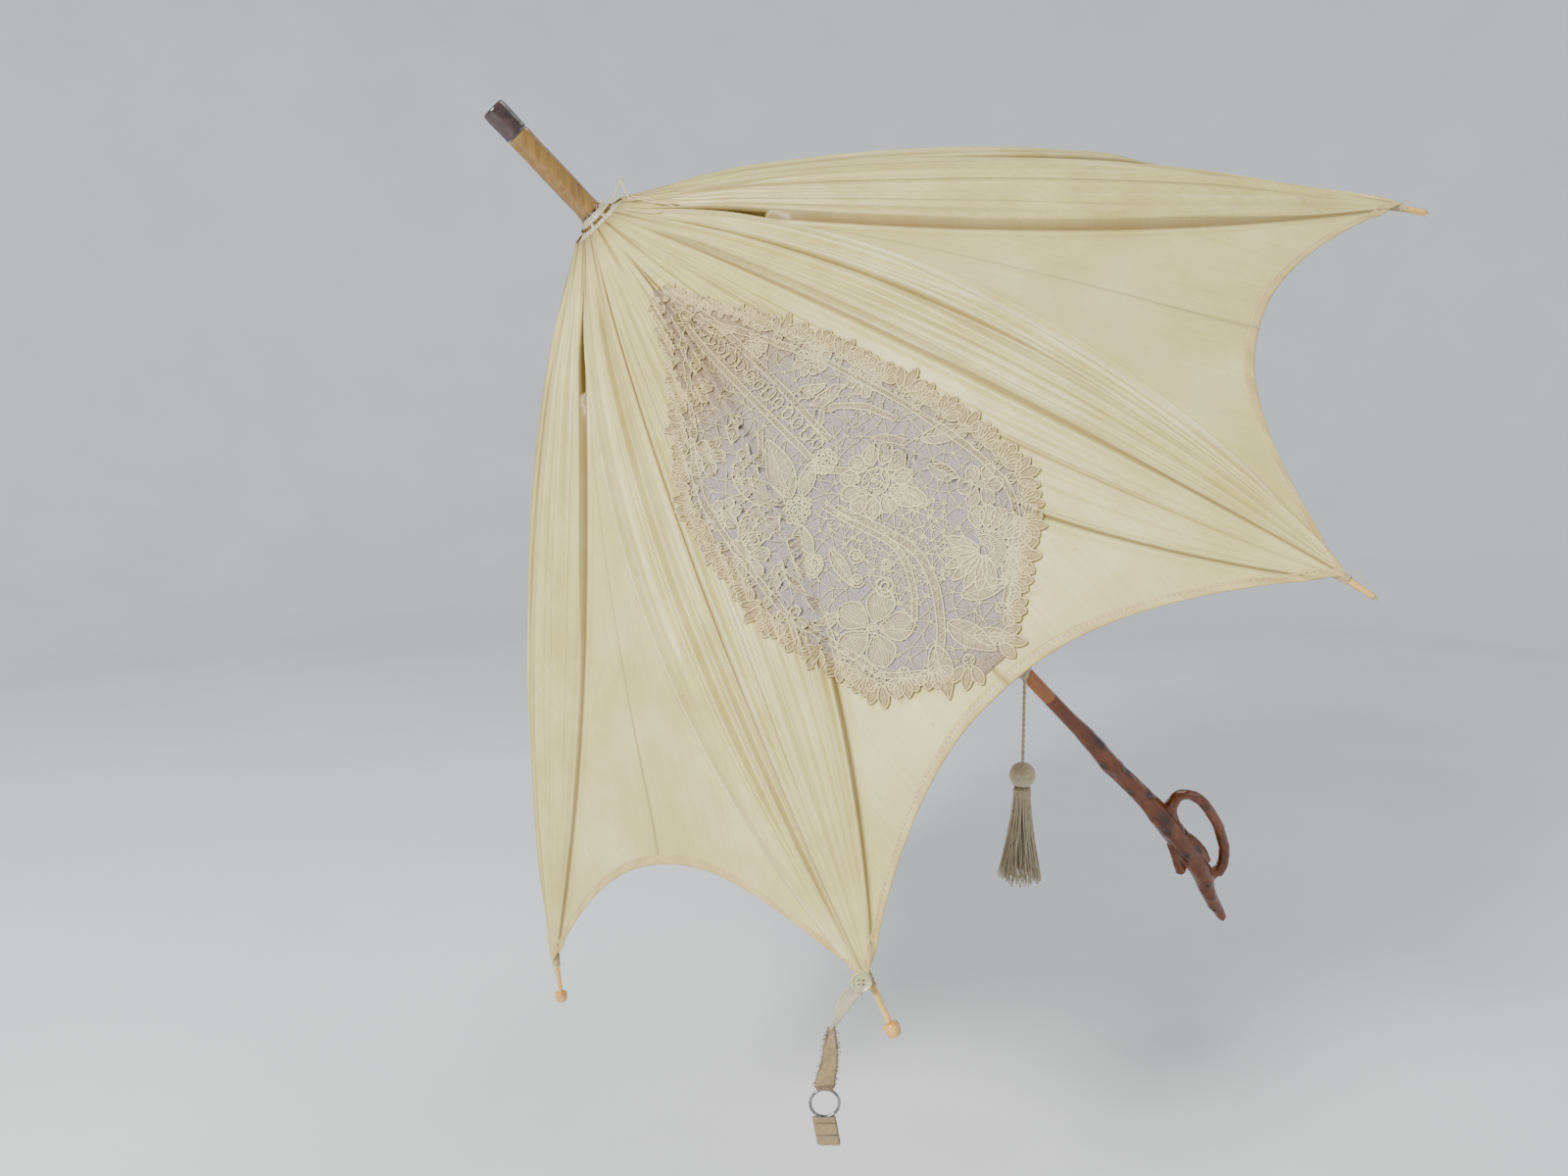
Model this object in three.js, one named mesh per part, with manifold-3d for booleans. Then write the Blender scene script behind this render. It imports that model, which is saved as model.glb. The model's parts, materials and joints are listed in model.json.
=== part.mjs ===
// Lace parasol with eight ribs, held half open and tilted, handle down.
// Millimetres, +Z up. The origin is the point of the stick where a hand holds it.
import * as THREE from 'three';
import { mergeVertices } from 'three/addons/utils/BufferGeometryUtils.js';
import Module from 'manifold-3d';

const wasm = await Module();
wasm.setup();

// Attitude of the held parasol.
const shaftTilt = THREE.MathUtils.degToRad(47.5);   // from upright, towards -X
const gripDrop = 620;           // crown pivots to the hand, along the stick

// Ribs. Along a rib: x runs from its pivot to its tip, z is outward.
const ribCount = 8;
const ribReach = 512;
const ribAngle = THREE.MathUtils.degToRad(50.4);    // between rib and stick
const ribBow = 22;              // rise of the bowed rib at its middle
const ribRadius = 1.3;
const rodLift = 3.5;            // the rod lies outside the line through its pivot
const rodStart = 12;
const clothEnd = 484;           // the cloth is bound to the rib here
const stubEnd = 498;            // the two ribs that have lost their knobs
const ribsWithoutKnob = [2, 3];
const knobRadius = 3.6;
const knobLength = 8;

// Rib joints.
const pivotRadius = 11;         // from the stick's axis, at notch and runner
const eyePlate = 1.6;
const eyeRadius = 2;
const eyeHole = 1;
const jointAlong = 215;         // from rib pivot to stretcher joint
const jointDrop = 4;            // from the rod down to the joint pin
const forkReach = 12;
const cheekInside = 1.1;
const cheekOutside = 2;
const stretcherRadius = 1.2;

// Stick.
const stickRadius = 6;
const stickEnd = -524;
const shoulder = 4.8;
const spigotRadius = 4;
const spigotLength = 34;
const fit = 0.3;                // gap between pieces that touch
const ferruleRadius = 7.7;
const ferruleEnd = 71;
const ferruleTipEnd = 92;

// Notch and runner, which are slotted alike.
const collarBore = 6.4;
const collarCore = 8.3;
const collarFlange = 13.2;
const collarHalf = 4;
const slotWidth = 2.4;
const wireRadius = 0.6;
const runnerTail = 30;          // sleeve below the runner's pivots
const catchAzimuth = THREE.MathUtils.degToRad(112.5);

// Cloth.
const clothLift = 7.2;
const clothThickness = 0.8;
const clothStart = 8;
const seamEnd = 418;            // the hem at the middle of a gore
const laceStart = 80;
const laceEnd = 408;
const laceThickness = 0.6;

// Handle features lie in one plane through the stick.
const handleAzimuth = THREE.MathUtils.degToRad(-20.7);

const gore = Math.PI * 2 / ribCount;
const jointRise = bowAt(jointAlong) + rodLift - jointDrop;
const stretcherLength = Math.hypot(jointAlong, jointRise);
const jointAngle = ribAngle + Math.atan2(jointRise, jointAlong);
const runnerPivot = -2 * stretcherLength * Math.cos(jointAngle);

const finish = {
  stick: new THREE.MeshStandardMaterial({ color: 0x9a6a34, roughness: 0.45 }),
  ferrule: new THREE.MeshStandardMaterial({ color: 0xa8814a, roughness: 0.35 }),
  horn: new THREE.MeshStandardMaterial({ color: 0x2a1d18, roughness: 0.3 }),
  handle: new THREE.MeshStandardMaterial({ color: 0x8e4a16, roughness: 0.2 }),
  steel: new THREE.MeshStandardMaterial({ color: 0x77716a, roughness: 0.45, metalness: 0.9 }),
  brass: new THREE.MeshStandardMaterial({ color: 0xa88a4c, roughness: 0.4, metalness: 0.9 }),
  cane: new THREE.MeshStandardMaterial({ color: 0xc9a05a, roughness: 0.45 }),
  knob: new THREE.MeshStandardMaterial({ color: 0xcfa552, roughness: 0.35 }),
  silk: new THREE.MeshStandardMaterial({ color: 0xe9dfb9, roughness: 0.6 }),
  lace: new THREE.MeshStandardMaterial({ color: 0xcdb893, roughness: 0.8 }),
  pearl: new THREE.MeshStandardMaterial({ color: 0xdcdcc0, roughness: 0.35 }),
  band: new THREE.MeshStandardMaterial({ color: 0xb9a57c, roughness: 0.85 }),
  ring: new THREE.MeshStandardMaterial({ color: 0x8d8f90, roughness: 0.4, metalness: 0.9 }),
  thread: new THREE.MeshStandardMaterial({ color: 0xa39578, roughness: 0.8 }),
};

// ---- solids ----

function toSolid(geometry) {
  const bare = geometry.clone();
  bare.deleteAttribute('normal');
  bare.deleteAttribute('uv');
  const merged = mergeVertices(bare, 1e-4);
  return new wasm.Manifold(new wasm.Mesh({
    numProp: 3,
    vertProperties: new Float32Array(merged.attributes.position.array),
    triVerts: new Uint32Array(merged.index.array),
  }));
}

function toGeometry(solid) {
  const mesh = solid.getMesh();
  const geometry = new THREE.BufferGeometry();
  geometry.setAttribute('position', new THREE.BufferAttribute(mesh.vertProperties, 3));
  geometry.setIndex(new THREE.BufferAttribute(mesh.triVerts, 1));
  geometry.computeVertexNormals();
  return geometry;
}

function unite(...geometries) {
  return toGeometry(geometries.map(toSolid).reduce((whole, next) => whole.add(next)));
}

function cut(geometry, ...cutters) {
  return toGeometry(cutters.map(toSolid).reduce((left, next) => left.subtract(next), toSolid(geometry)));
}

// Turned solid about Z from [radius, z] points, listed so that the faces point out.
function turned(points, sides = 24) {
  const profile = points.map(([radius, height]) => new THREE.Vector2(radius, height));
  return new THREE.LatheGeometry(profile, sides).rotateX(Math.PI / 2);
}

function tube(inner, outer, low, high, sides = 24) {
  return turned([[inner, low], [outer, low], [outer, high], [inner, high], [inner, low]], sides);
}

function rod(radius, low, high, sides = 24) {
  return turned([[0, low], [radius, low], [radius, high], [0, high]], sides);
}

function wireRing(radius, wire, height, sides = 32, wireSides = 6) {
  const profile = [];
  for (let i = 0; i <= wireSides; i += 1) {
    const turn = i / wireSides * Math.PI * 2;
    profile.push([radius + wire * Math.cos(turn), height + wire * Math.sin(turn)]);
  }
  return turned(profile, sides);
}

function sweep(points, radius, steps, sides = 8) {
  const section = new THREE.Shape();
  for (let i = 0; i < sides; i += 1) {
    const turn = i / sides * Math.PI * 2;
    const corner = [radius * Math.cos(turn), radius * Math.sin(turn)];
    if (i === 0) section.moveTo(...corner);
    else section.lineTo(...corner);
  }
  const extrudePath = new THREE.CatmullRomCurve3(points);
  return new THREE.ExtrudeGeometry(section, { steps, extrudePath, curveSegments: 1 });
}

// Flat plate with round ends from (x1, z1) to (x2, z2), centred on y = offset.
function roundBar([x1, z1], [x2, z2], radius, thickness, offset = 0) {
  const turn = Math.atan2(z2 - z1, x2 - x1);
  const outline = new THREE.Shape();
  outline.absarc(x2, z2, radius, turn - Math.PI / 2, turn + Math.PI / 2);
  outline.absarc(x1, z1, radius, turn + Math.PI / 2, turn + Math.PI * 1.5);
  const plate = new THREE.ExtrudeGeometry(outline, {
    depth: thickness, bevelEnabled: false, curveSegments: 4,
  });
  return plate.rotateX(Math.PI / 2).translate(0, thickness / 2 + offset, 0);
}

function pinAcross(x, z, radius, halfWidth) {
  return new THREE.CylinderGeometry(radius, radius, halfWidth * 2, 8).translate(x, 0, z);
}

// ---- places ----

function bowAt(along) {
  const share = along / ribReach;
  return 4 * ribBow * share * (1 - share);
}

function azimuthOf(index) {
  return -gore * index;
}

// Frame of a rib: x along its chord, y across it, z outward.
function ribMatrix(azimuth) {
  const outward = new THREE.Vector3(Math.cos(azimuth), Math.sin(azimuth), 0);
  const down = new THREE.Vector3(0, 0, -1);
  const chord = outward.clone().multiplyScalar(Math.sin(ribAngle))
    .addScaledVector(down, Math.cos(ribAngle));
  const across = new THREE.Vector3(-Math.sin(azimuth), Math.cos(azimuth), 0);
  const normal = chord.clone().cross(across);
  return new THREE.Matrix4().makeBasis(chord, across, normal)
    .setPosition(outward.multiplyScalar(pivotRadius));
}

function onRib(azimuth, along, lift = clothLift) {
  return new THREE.Vector3(along, 0, bowAt(along) + lift).applyMatrix4(ribMatrix(azimuth));
}

function place(geometry, name, material, matrix) {
  const mesh = new THREE.Mesh(geometry, material);
  mesh.name = name;
  if (matrix) mesh.applyMatrix4(matrix);
  return mesh;
}

// ---- stick, ferrule, notch, runner ----

function makeShaft() {
  const outline = [
    [0, stickEnd - 20], [3.8, stickEnd - 20], [3.8, stickEnd], [stickRadius, stickEnd],
    [stickRadius, shoulder], [spigotRadius, shoulder], [spigotRadius, shoulder + spigotLength],
    [0, shoulder + spigotLength],
  ];
  const slots = catches.map((item) => catchSlot(item));
  return cut(turned(outline), ...slots);
}

function makeFerrule() {
  const bore = spigotRadius + fit;
  const floor = shoulder + spigotLength + 2;
  const peg = 4.5;
  return turned([
    [bore, shoulder + fit], [ferruleRadius - 0.5, shoulder + fit], [ferruleRadius, shoulder + 3],
    [ferruleRadius, ferruleEnd - 1], [ferruleRadius - 0.7, ferruleEnd], [peg, ferruleEnd],
    [peg, ferruleEnd + 6], [0, ferruleEnd + 6], [0, floor], [bore, floor], [bore, shoulder + fit],
  ]);
}

function makeFerruleTip() {
  const low = ferruleEnd + fit;
  const peg = 4.5 + fit;
  const floor = ferruleEnd + 6 + fit;
  return turned([
    [peg, low], [7, low], [7, ferruleTipEnd - 0.8], [6.3, ferruleTipEnd], [0, ferruleTipEnd],
    [0, floor], [peg, floor], [peg, low],
  ]);
}

function makeCrownCollar() {
  return tube(ferruleRadius + fit, 12.5, shoulder + 1, shoulder + 4.5);
}

// A slotted collar: eight slots for the eyes and a groove for the wire through them.
function slotted(body, height) {
  const cutters = [tube(pivotRadius - wireRadius - fit, collarFlange + 1, height - 0.9, height + 0.9, 32)];
  for (let i = 0; i < ribCount; i += 1) {
    const slot = new THREE.BoxGeometry(8, slotWidth, collarHalf * 4);
    slot.translate(collarCore + 4, 0, height).rotateZ(azimuthOf(i));
    cutters.push(slot);
  }
  return cut(body, ...cutters);
}

function makeNotch() {
  return slotted(tube(collarBore, collarFlange, -collarHalf, collarHalf, 32), 0);
}

function makeRunner() {
  const mid = runnerPivot;
  const sleeve = collarCore - 0.1;
  const body = turned([
    [collarBore, mid - runnerTail], [sleeve + 1, mid - runnerTail],
    [sleeve + 1, mid - runnerTail + 4], [sleeve, mid - runnerTail + 5],
    [sleeve, mid - collarHalf], [collarFlange, mid - collarHalf],
    [collarFlange, mid + collarHalf], [sleeve, mid + collarHalf],
    [sleeve, mid + 8], [collarBore, mid + 8], [collarBore, mid - runnerTail],
  ], 32);
  const window = new THREE.BoxGeometry(6, 3.4, 14).translate(8, 0, mid - 16).rotateZ(catchAzimuth);
  return cut(slotted(body, mid), window);
}

// Spring catches: thin wedges that stand out of slots in the stick.
const catches = [
  { name: 'top_catch', nose: -113.5, heel: -138 },
  { name: 'bottom_catch', nose: -448, heel: -424 },
];

function catchSlot({ nose, heel }) {
  const low = Math.min(nose, heel) - 1;
  const high = Math.max(nose, heel) + 1;
  const slot = new THREE.BoxGeometry(stickRadius * 2, 2.2, high - low);
  return slot.translate(stickRadius - 1, 0, (low + high) / 2).rotateZ(catchAzimuth);
}

function makeCatch({ nose, heel }) {
  const outline = new THREE.Shape();
  outline.moveTo(1, nose);
  outline.lineTo(8.6, nose);
  outline.lineTo(5.2, heel);
  outline.lineTo(1, heel);
  outline.closePath();
  const plate = new THREE.ExtrudeGeometry(outline, { depth: 1.2, bevelEnabled: false });
  return plate.rotateX(Math.PI / 2).translate(0, 0.6, 0).rotateZ(catchAzimuth);
}

// ---- ribs and stretchers ----

function makeRib(hasKnob) {
  const end = hasKnob ? ribReach - knobLength + 1 : stubEnd;
  const stations = [rodStart, 70, 140, 215, 300, 380, 440, clothEnd, end];
  const line = stations.map((along) => new THREE.Vector3(along, 0, bowAt(along) + rodLift));
  if (!hasKnob) line[line.length - 1].z -= 1.5;
  const eyeTop = [rodStart + 4, bowAt(rodStart + 4) + rodLift];
  const solid = unite(
    sweep(line, ribRadius, 12),
    roundBar([0, 0], eyeTop, 1.6, eyePlate),
    roundBar([0, 0], [0.1, 0], eyeRadius, eyePlate),
    roundBar([jointAlong, jointRise], [jointAlong, jointRise + jointDrop], eyeRadius, eyePlate),
  );
  return cut(solid, pinAcross(0, 0, eyeHole, 2), pinAcross(jointAlong, jointRise, 0.9, 2));
}

function makeKnob() {
  const bore = ribRadius + fit;
  const start = ribReach - knobLength;
  return turned([
    [bore, 0], [2.6, 0], [knobRadius, 2], [knobRadius, knobLength - 1.6],
    [2.6, knobLength], [0, knobLength], [0, 2], [bore, 2], [bore, 0],
  ], 10).rotateY(Math.PI / 2).translate(start, 0, bowAt(start) + rodLift);
}

// x runs from the fork at the rib to the eye at the runner.
function makeStretcher() {
  const cheekMiddle = (cheekInside + cheekOutside) / 2;
  const cheek = cheekOutside - cheekInside;
  const solid = unite(
    roundBar([0, 0], [forkReach, 0], eyeRadius, cheek, cheekMiddle),
    roundBar([0, 0], [forkReach, 0], eyeRadius, cheek, -cheekMiddle),
    roundBar([6, 0], [forkReach, 0], 1.6, cheekOutside * 2 - 0.2),
    pinAcross(0, 0, 0.6, cheekOutside - 0.1),
    rodAlongX(stretcherRadius, forkReach - 2, stretcherLength - 9),
    roundBar([stretcherLength - 12, 0], [stretcherLength, 0], 1.7, eyePlate),
    roundBar([stretcherLength - 0.1, 0], [stretcherLength, 0], eyeRadius, eyePlate),
  );
  return cut(solid, pinAcross(stretcherLength, 0, eyeHole, 2));
}

function rodAlongX(radius, from, to) {
  return rod(radius, from, to, 8).rotateY(Math.PI / 2);
}

function stretcherMatrix(azimuth) {
  const outward = new THREE.Vector3(Math.cos(azimuth), Math.sin(azimuth), 0);
  const along = outward.clone().multiplyScalar(-Math.sin(jointAngle));
  along.z = -Math.cos(jointAngle);
  const across = new THREE.Vector3(-Math.sin(azimuth), Math.cos(azimuth), 0);
  const normal = along.clone().cross(across);
  const joint = new THREE.Vector3(jointAlong, 0, jointRise).applyMatrix4(ribMatrix(azimuth));
  return new THREE.Matrix4().makeBasis(along, across, normal).setPosition(joint);
}

// ---- cloth ----

// Hem of a half gore: share 0 at the rib, 1 at the seam in the middle of the gore.
function hemAt(share) {
  return seamEnd + (clothEnd - seamEnd) * (1 - share) ** 2.2;
}

// A point of the half gore on one side of a rib, lifted off the cloth.
function onHalfGore(azimuth, side, along, share, lift) {
  const near = onRib(azimuth, along, lift);
  const far = onRib(azimuth + gore * side, along, lift);
  const seam = near.clone().lerp(far, 0.5);
  const towards = far.clone().sub(near).normalize();
  near.addScaledVector(towards, 0.4);
  seam.addScaledVector(towards, -0.4);
  return near.lerp(seam, share);
}

// Closed plate over a grid of along and share values, from the low lift to the high one.
function clothPlate(azimuth, side, grid, low, high) {
  const rows = grid.length;
  const columns = grid[0].length;
  const positions = [];
  for (const lift of [low, high]) {
    for (const row of grid) {
      for (const [along, share] of row) {
        positions.push(...onHalfGore(azimuth, side, along, share, lift).toArray());
      }
    }
  }
  const index = [];
  const at = (layer, row, column) => layer * rows * columns + row * columns + column;
  const quad = (a, b, c, d) => index.push(a, b, c, a, c, d);
  for (let r = 0; r < rows - 1; r += 1) {
    for (let c = 0; c < columns - 1; c += 1) {
      quad(at(0, r, c), at(0, r, c + 1), at(0, r + 1, c + 1), at(0, r + 1, c));
      quad(at(1, r, c), at(1, r + 1, c), at(1, r + 1, c + 1), at(1, r, c + 1));
    }
  }
  for (let r = 0; r < rows - 1; r += 1) {
    quad(at(0, r, 0), at(0, r + 1, 0), at(1, r + 1, 0), at(1, r, 0));
    quad(at(0, r + 1, columns - 1), at(0, r, columns - 1), at(1, r, columns - 1), at(1, r + 1, columns - 1));
  }
  for (let c = 0; c < columns - 1; c += 1) {
    quad(at(0, 0, c + 1), at(0, 0, c), at(1, 0, c), at(1, 0, c + 1));
    quad(at(0, rows - 1, c), at(0, rows - 1, c + 1), at(1, rows - 1, c + 1), at(1, rows - 1, c));
  }
  if (side < 0) index.reverse();
  const geometry = new THREE.BufferGeometry();
  geometry.setAttribute('position', new THREE.Float32BufferAttribute(positions, 3));
  geometry.setIndex(index);
  geometry.computeVertexNormals();
  return geometry;
}

function makeHalfGore(azimuth, side) {
  const grid = [];
  const rows = 6;
  const columns = 4;
  for (let r = 0; r <= rows; r += 1) {
    const row = [];
    for (let c = 0; c <= columns; c += 1) {
      const share = c / columns;
      row.push([clothStart + (hemAt(share) - clothStart) * r / rows, share]);
    }
    grid.push(row);
  }
  return clothPlate(azimuth, side, grid, clothLift - clothThickness, clothLift);
}

// Half of the drop-shaped lace panel, widest above its middle.
function laceWidth(along) {
  const share = (along - laceStart) / (laceEnd - laceStart);
  return 0.84 * Math.sin(Math.PI * share ** 0.9) ** 0.75 + 0.05;
}

function makeLaceHalf(azimuth, side) {
  const grid = [];
  const rows = 10;
  const columns = 4;
  for (let r = 0; r <= rows; r += 1) {
    const along = laceStart + (laceEnd - laceStart) * r / rows;
    const row = [];
    for (let c = 0; c <= columns; c += 1) {
      row.push([along, 1 - laceWidth(along) * (1 - c / columns)]);
    }
    grid.push(row);
  }
  const low = clothLift + fit;
  return clothPlate(azimuth, side, grid, low, low + laceThickness);
}

// ---- handle ----

// Places in the handle's plane: [down the stick from the crown, aside].
const handleLine = [
  [524.4, 0], [577, 0.6], [618, -0.4], [657, 0.6], [697, 0], [729, -1.5], [757, -4],
  [784, -8], [803, -15], [827, -20], [848, -23],
];
const handleGirth = [6, 7, 8.2, 8, 10, 10.4, 9.6, 9.4, 8, 5.6, 3.6];
const loopLine = [
  [714, 4], [701, 9], [694, 18], [697, 28], [714, 35], [739, 34], [763, 28.5], [783, 19],
  [795, 6], [790, -4],
];
const spurLine = [[723, -2], [741, -13], [765, -21.5]];
const lobeLine = [[729, 3], [757, 5], [776, 3]];

function inHandlePlane([down, aside], across = 0) {
  const x = Math.cos(handleAzimuth);
  const y = Math.sin(handleAzimuth);
  return new THREE.Vector3(aside * x - across * y, aside * y + across * x, -down);
}

// Round limb whose radius changes along its line.
function limb(line, girth, rings, sides = 12) {
  const points = line.map((spot) => inHandlePlane(spot));
  const curve = new THREE.CatmullRomCurve3(points, false, 'centripetal');
  const across = inHandlePlane([0, 0], 1);
  const positions = [];
  const index = [];
  for (let i = 0; i <= rings; i += 1) {
    const share = i / rings;
    const spot = share * (girth.length - 1);
    const low = Math.min(Math.floor(spot), girth.length - 2);
    const radius = girth[low] + (girth[low + 1] - girth[low]) * (spot - low);
    const centre = curve.getPoint(share);
    const along = curve.getTangent(share);
    const aside = across.clone().cross(along).normalize();
    for (let j = 0; j < sides; j += 1) {
      const turn = j / sides * Math.PI * 2;
      const point = centre.clone().addScaledVector(aside, radius * Math.cos(turn))
        .addScaledVector(across, radius * Math.sin(turn));
      positions.push(...point.toArray());
    }
  }
  for (let i = 0; i < rings; i += 1) {
    for (let j = 0; j < sides; j += 1) {
      const a = i * sides + j;
      const b = i * sides + (j + 1) % sides;
      index.push(a, b, b + sides, a, b + sides, a + sides);
    }
  }
  for (let j = 1; j < sides - 1; j += 1) {
    index.push(0, j + 1, j);
    index.push(rings * sides, rings * sides + j, rings * sides + j + 1);
  }
  const geometry = new THREE.BufferGeometry();
  geometry.setAttribute('position', new THREE.Float32BufferAttribute(positions, 3));
  geometry.setIndex(index);
  return geometry;
}

function makeHandle() {
  const solid = unite(
    limb(handleLine, handleGirth, 30),
    limb(loopLine, [5, 5.4, 5.8, 5.8, 5.8, 5.8, 5.6, 5.4, 5], 26, 10),
    limb(spurLine, [5, 5.2, 4.6], 6, 10),
    limb(lobeLine, [5, 6, 4.5], 6, 10),
  );
  return cut(solid, rod(3.8 + fit, stickEnd - 21, stickEnd + 1));
}

// ---- strap at a rib tip ----

// The strap hangs straight down in the held attitude, so its places are in the row's frame.
const strapHead = new THREE.Vector3(-430.9, -275.7, 9.8);
const strapThickness = 1;
const strapWaist = new THREE.Vector3(-440.2, -270.9, -10);
const strapFoot = new THREE.Vector3(-442.9, -269.5, -40);
const ringRadius = 7.2;
const ringWire = 0.7;
const strapFacing = THREE.MathUtils.degToRad(-27.6);   // turned about the vertical

function strapPlate(points, halfWidths, thickness) {
  const across = new THREE.Vector3(Math.cos(strapFacing), Math.sin(strapFacing), 0);
  const depth = new THREE.Vector3(-Math.sin(strapFacing), Math.cos(strapFacing), 0);
  const positions = [];
  points.forEach((point, i) => {
    for (const [u, v] of [[-1, -0.5], [1, -0.5], [1, 0.5], [-1, 0.5]]) {
      const corner = point.clone().addScaledVector(across, u * halfWidths[i])
        .addScaledVector(depth, v * thickness);
      positions.push(...corner.toArray());
    }
  });
  const index = [];
  for (let i = 0; i < points.length - 1; i += 1) {
    for (let j = 0; j < 4; j += 1) {
      const a = i * 4 + j;
      const b = i * 4 + (j + 1) % 4;
      index.push(a, a + 4, b + 4, a, b + 4, b);
    }
  }
  const last = (points.length - 1) * 4;
  index.push(0, 1, 2, 0, 2, 3, last, last + 2, last + 1, last, last + 3, last + 2);
  const geometry = new THREE.BufferGeometry();
  geometry.setAttribute('position', new THREE.Float32BufferAttribute(positions, 3));
  geometry.setIndex(index);
  geometry.computeVertexNormals();
  return geometry;
}

function makeStrap() {
  return strapPlate([strapHead, strapWaist, strapFoot], [4.5, 2.4, 4.4], strapThickness);
}

function makeStrapRing() {
  const centre = strapFoot.clone();
  centre.z -= ringRadius + ringWire + fit;
  return wireRing(ringRadius, ringWire, 0, 32).rotateX(Math.PI / 2).rotateZ(strapFacing)
    .translate(centre.x, centre.y, centre.z);
}

function makeStrapTab() {
  const top = strapFoot.clone();
  top.z -= 2 * (ringRadius + ringWire + fit);
  const foot = top.clone();
  foot.z -= 13;
  top.z -= fit;
  return strapPlate([top, foot], [5.6, 5.6], 2);
}

function makeButton() {
  const disc = turned([[0, -1.2], [4.6, -1.2], [5.5, -0.4], [5.5, 0.6], [4.8, 1.3], [0, 1.3]], 20);
  const centre = new THREE.Vector3(-428.5, -279.5, 16);
  return disc.rotateX(Math.PI / 2).rotateZ(strapFacing).translate(centre.x, centre.y, centre.z);
}

// ---- tassel ----

const tieDrop = 478;            // crown pivots to the knot round the stick
const tasselPlumb = new THREE.Vector3(-107, -8, 0);   // the hanging line
const cordTop = 90;
const cordEnd = 20;
const beadRadius = 10.7;

function makeTasselCord() {
  const { x, y } = tasselPlumb;
  const line = [
    new THREE.Vector3(x, y, cordTop), new THREE.Vector3(x, y, 70),
    new THREE.Vector3(x, y, 45), new THREE.Vector3(x, y, cordEnd),
  ];
  return sweep(line, 1.5, 12);
}

function makeTasselBead() {
  const outline = [];
  const steps = 10;
  for (let i = 0; i <= steps; i += 1) {
    const turn = -Math.PI / 2 + Math.PI * i / steps;
    outline.push([beadRadius * Math.cos(turn), beadRadius * Math.sin(turn)]);
  }
  outline[0][0] = 0;
  outline[steps][0] = 0;
  const centre = cordEnd - fit - beadRadius;
  return turned(outline, 20).translate(tasselPlumb.x, tasselPlumb.y, centre);
}

function makeTasselSkirt() {
  const top = cordEnd - 2 * fit - 2 * beadRadius;
  return turned([
    [0, top - 80], [20, top - 80], [17, top - 50], [11, top - 20], [8, top - 5], [6.5, top], [0, top],
  ], 20).translate(tasselPlumb.x, tasselPlumb.y, 0);
}

// The knot of the tassel cord round the stick.
function makeTie() {
  return wireRing(stickRadius + 1.8, 1.5, -tieDrop, 32);
}

// ---- assembly ----

const canopy = new THREE.Group();
canopy.rotation.y = -shaftTilt;
canopy.position.set(-gripDrop * Math.sin(shaftTilt), 0, gripDrop * Math.cos(shaftTilt));

canopy.add(
  place(makeShaft(), 'shaft', finish.stick),
  place(makeFerrule(), 'ferrule', finish.ferrule),
  place(makeFerruleTip(), 'ferrule_tip', finish.horn),
  place(makeCrownCollar(), 'crown_collar', finish.silk),
  place(makeNotch(), 'top_notch', finish.brass),
  place(wireRing(pivotRadius, wireRadius, 0), 'notch_wire', finish.steel),
  place(makeRunner(), 'runner', finish.brass),
  place(wireRing(pivotRadius, wireRadius, runnerPivot), 'runner_wire', finish.steel),
  place(makeHandle(), 'handle', finish.handle),
  place(makeTie(), 'tassel_tie', finish.thread),
);
for (const item of catches) canopy.add(place(makeCatch(item), item.name, finish.steel));

for (let i = 0; i < ribCount; i += 1) {
  const number = i + 1;
  const azimuth = azimuthOf(i);
  const hasKnob = !ribsWithoutKnob.includes(number);
  canopy.add(
    place(makeRib(hasKnob), `rib_${number}`, finish.cane, ribMatrix(azimuth)),
    place(makeStretcher(), `stretcher_${number}`, finish.steel, stretcherMatrix(azimuth)),
    place(makeHalfGore(azimuth, 1), `gore_${number}_left`, finish.silk),
    place(makeHalfGore(azimuth, -1), `gore_${number}_right`, finish.silk),
  );
  if (hasKnob) canopy.add(place(makeKnob(), `knob_${number}`, finish.knob, ribMatrix(azimuth)));
}
canopy.add(
  place(makeLaceHalf(azimuthOf(2), -1), 'lace_panel_left', finish.lace),
  place(makeLaceHalf(azimuthOf(3), 1), 'lace_panel_right', finish.lace),
);

const parasol = new THREE.Group();
parasol.add(
  canopy,
  place(makeButton(), 'strap_button', finish.pearl),
  place(makeStrap(), 'tie_strap', finish.band),
  place(makeStrapRing(), 'strap_ring', finish.ring),
  place(makeStrapTab(), 'strap_tab', finish.band),
  place(makeTasselCord(), 'tassel_cord', finish.thread),
  place(makeTasselBead(), 'tassel_bead', finish.thread),
  place(makeTasselSkirt(), 'tassel_skirt', finish.thread),
);

export default parasol;
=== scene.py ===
import bpy
import json
import math
import random
import numpy as np
from mathutils import Matrix, Vector, noise


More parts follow.
